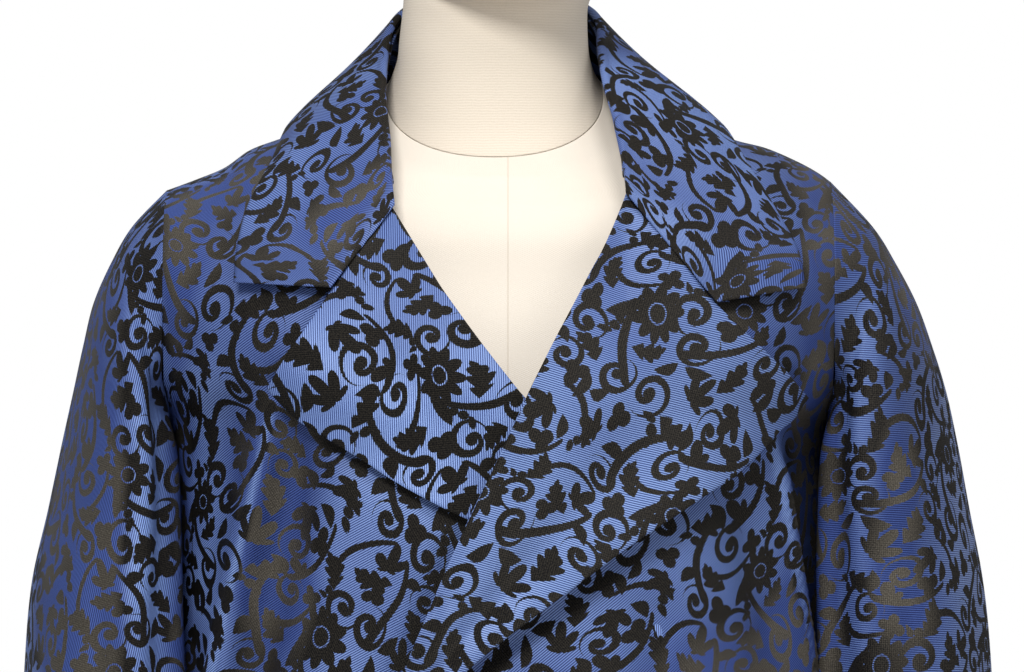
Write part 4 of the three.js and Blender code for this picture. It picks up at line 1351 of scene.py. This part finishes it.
# ---- Dress form and stand ----

FORM_SIDES = 112
FORM_RINGS = 110
FORM_AROUND = 600.0  # millimetres of cloth round the form and the stand
POLE = table("radius z", "14 20.3  14 20.6  14 799.2  14 799.7")
BASE = table("radius z", """
    229 0  229.8 0.3  230 1  230 16  229.6 17.6  228.6 18.8  227.2 19.7  225.5 20  224 20  20 20
""")


def form_points(rows):
    """Rings through the table's rows, each a rounded oval that tilts and turns."""
    fine = along_rows(np.stack(list(rows.values()), axis=-1), FORM_RINGS)
    row = {name: fine[:, i:i + 1] for i, name in enumerate(rows)}
    sine, cosine = oval(around(FORM_SIDES)[None, :], FORM_POWER)
    out = -cosine * np.where(cosine > 0, row["front"], row["back"])
    x = row["across"] + row["half"] * sine - row["turn"] * out
    z = row["z"] + out * np.where(out < 0, row["frontTilt"], row["backTilt"])
    return np.stack([x, SHOULDER_Y + out, z], axis=-1)


def lathe_points(rows, sides=96):
    turn = around(sides)[None, :]
    radius, z = rows["radius"][:, None], rows["z"][:, None]
    return np.stack([radius * np.cos(turn), radius * np.sin(turn), z + 0 * turn], axis=-1)


metal = metal_material()
for name, node, rings, slot, material in (
    ("torso", "form_torso", form_points(TORSO), "form_cover", cover_material()),
    ("neck_head", "form_neck_head", form_points(NECK_HEAD), "form_jersey", jersey_material()),
    ("pole", "stand_pole", lathe_points(POLE), "stand_metal", metal),
    ("base", "stand_base", lathe_points(BASE), "stand_metal", metal),
):
    piece = closed_loft("dress_form_" + name, rings, material)
    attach(piece, "root")
    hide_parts(node)

# ---- Floor, light and camera ----

floor_mesh = bpy.data.meshes.new("floor")
floor_mesh.from_pydata([(-8, -8, 0), (8, -8, 0), (8, 8, 0), (-8, 8, 0)], [], [(0, 1, 2, 3)])
floor_mesh.materials.append(new_material("stage_white", Base_Color=STAGE_WHITE, Roughness=0.9)[0])
floor = placed("floor", floor_mesh)
floor.location.z = -0.0005

world = bpy.data.worlds.new("studio")
world.use_nodes = True
bpy.context.scene.world = world
studio = world.node_tree
studio.nodes.clear()
seen = add_node(studio, "Background", {"Color": (1, 1, 1, 1), "Strength": 1.0})
lit = add_node(studio, "Background", {"Color": (0.93, 0.96, 1.0, 1), "Strength": 0.34})
swap = add_node(studio, "MixShader", {
    0: add_node(studio, "LightPath").outputs["Is Camera Ray"],
    1: lit.outputs["Background"], 2: seen.outputs["Background"]})
add_node(studio, "OutputWorld", {"Surface": swap.outputs["Shader"]})


def area_light(name, place, target, size, power):
    data = bpy.data.lights.new(name, "AREA")
    data.shape = "SQUARE"
    data.size = size
    data.energy = power
    light = placed(name, data)
    light.location = place
    aim = Vector(target) - Vector(place)
    light.rotation_mode = "QUATERNION"
    light.rotation_quaternion = aim.to_track_quat("-Z", "Y")


area_light("key_light", (-0.7, -2.4, 3.4), (0, 0, 1.3), 1.0, 78)
area_light("top_light", (0.5, -1.1, 3.4), (0, -0.1, 1.3), 0.9, 22)
area_light("fill_light", (2.4, -2.2, 1.8), (0, 0, 1.25), 2.0, 18)

camera_data = bpy.data.cameras.new("camera")
camera_data.sensor_width = 36
camera_data.lens = 351.6
camera_data.clip_end = 50
camera = placed("camera", camera_data)
camera.location = (0.003, -6.0, 1.2932)
camera.rotation_euler = (math.radians(90), 0, 0)
bpy.context.scene.camera = camera
bpy.context.scene.view_settings.view_transform = "Standard"
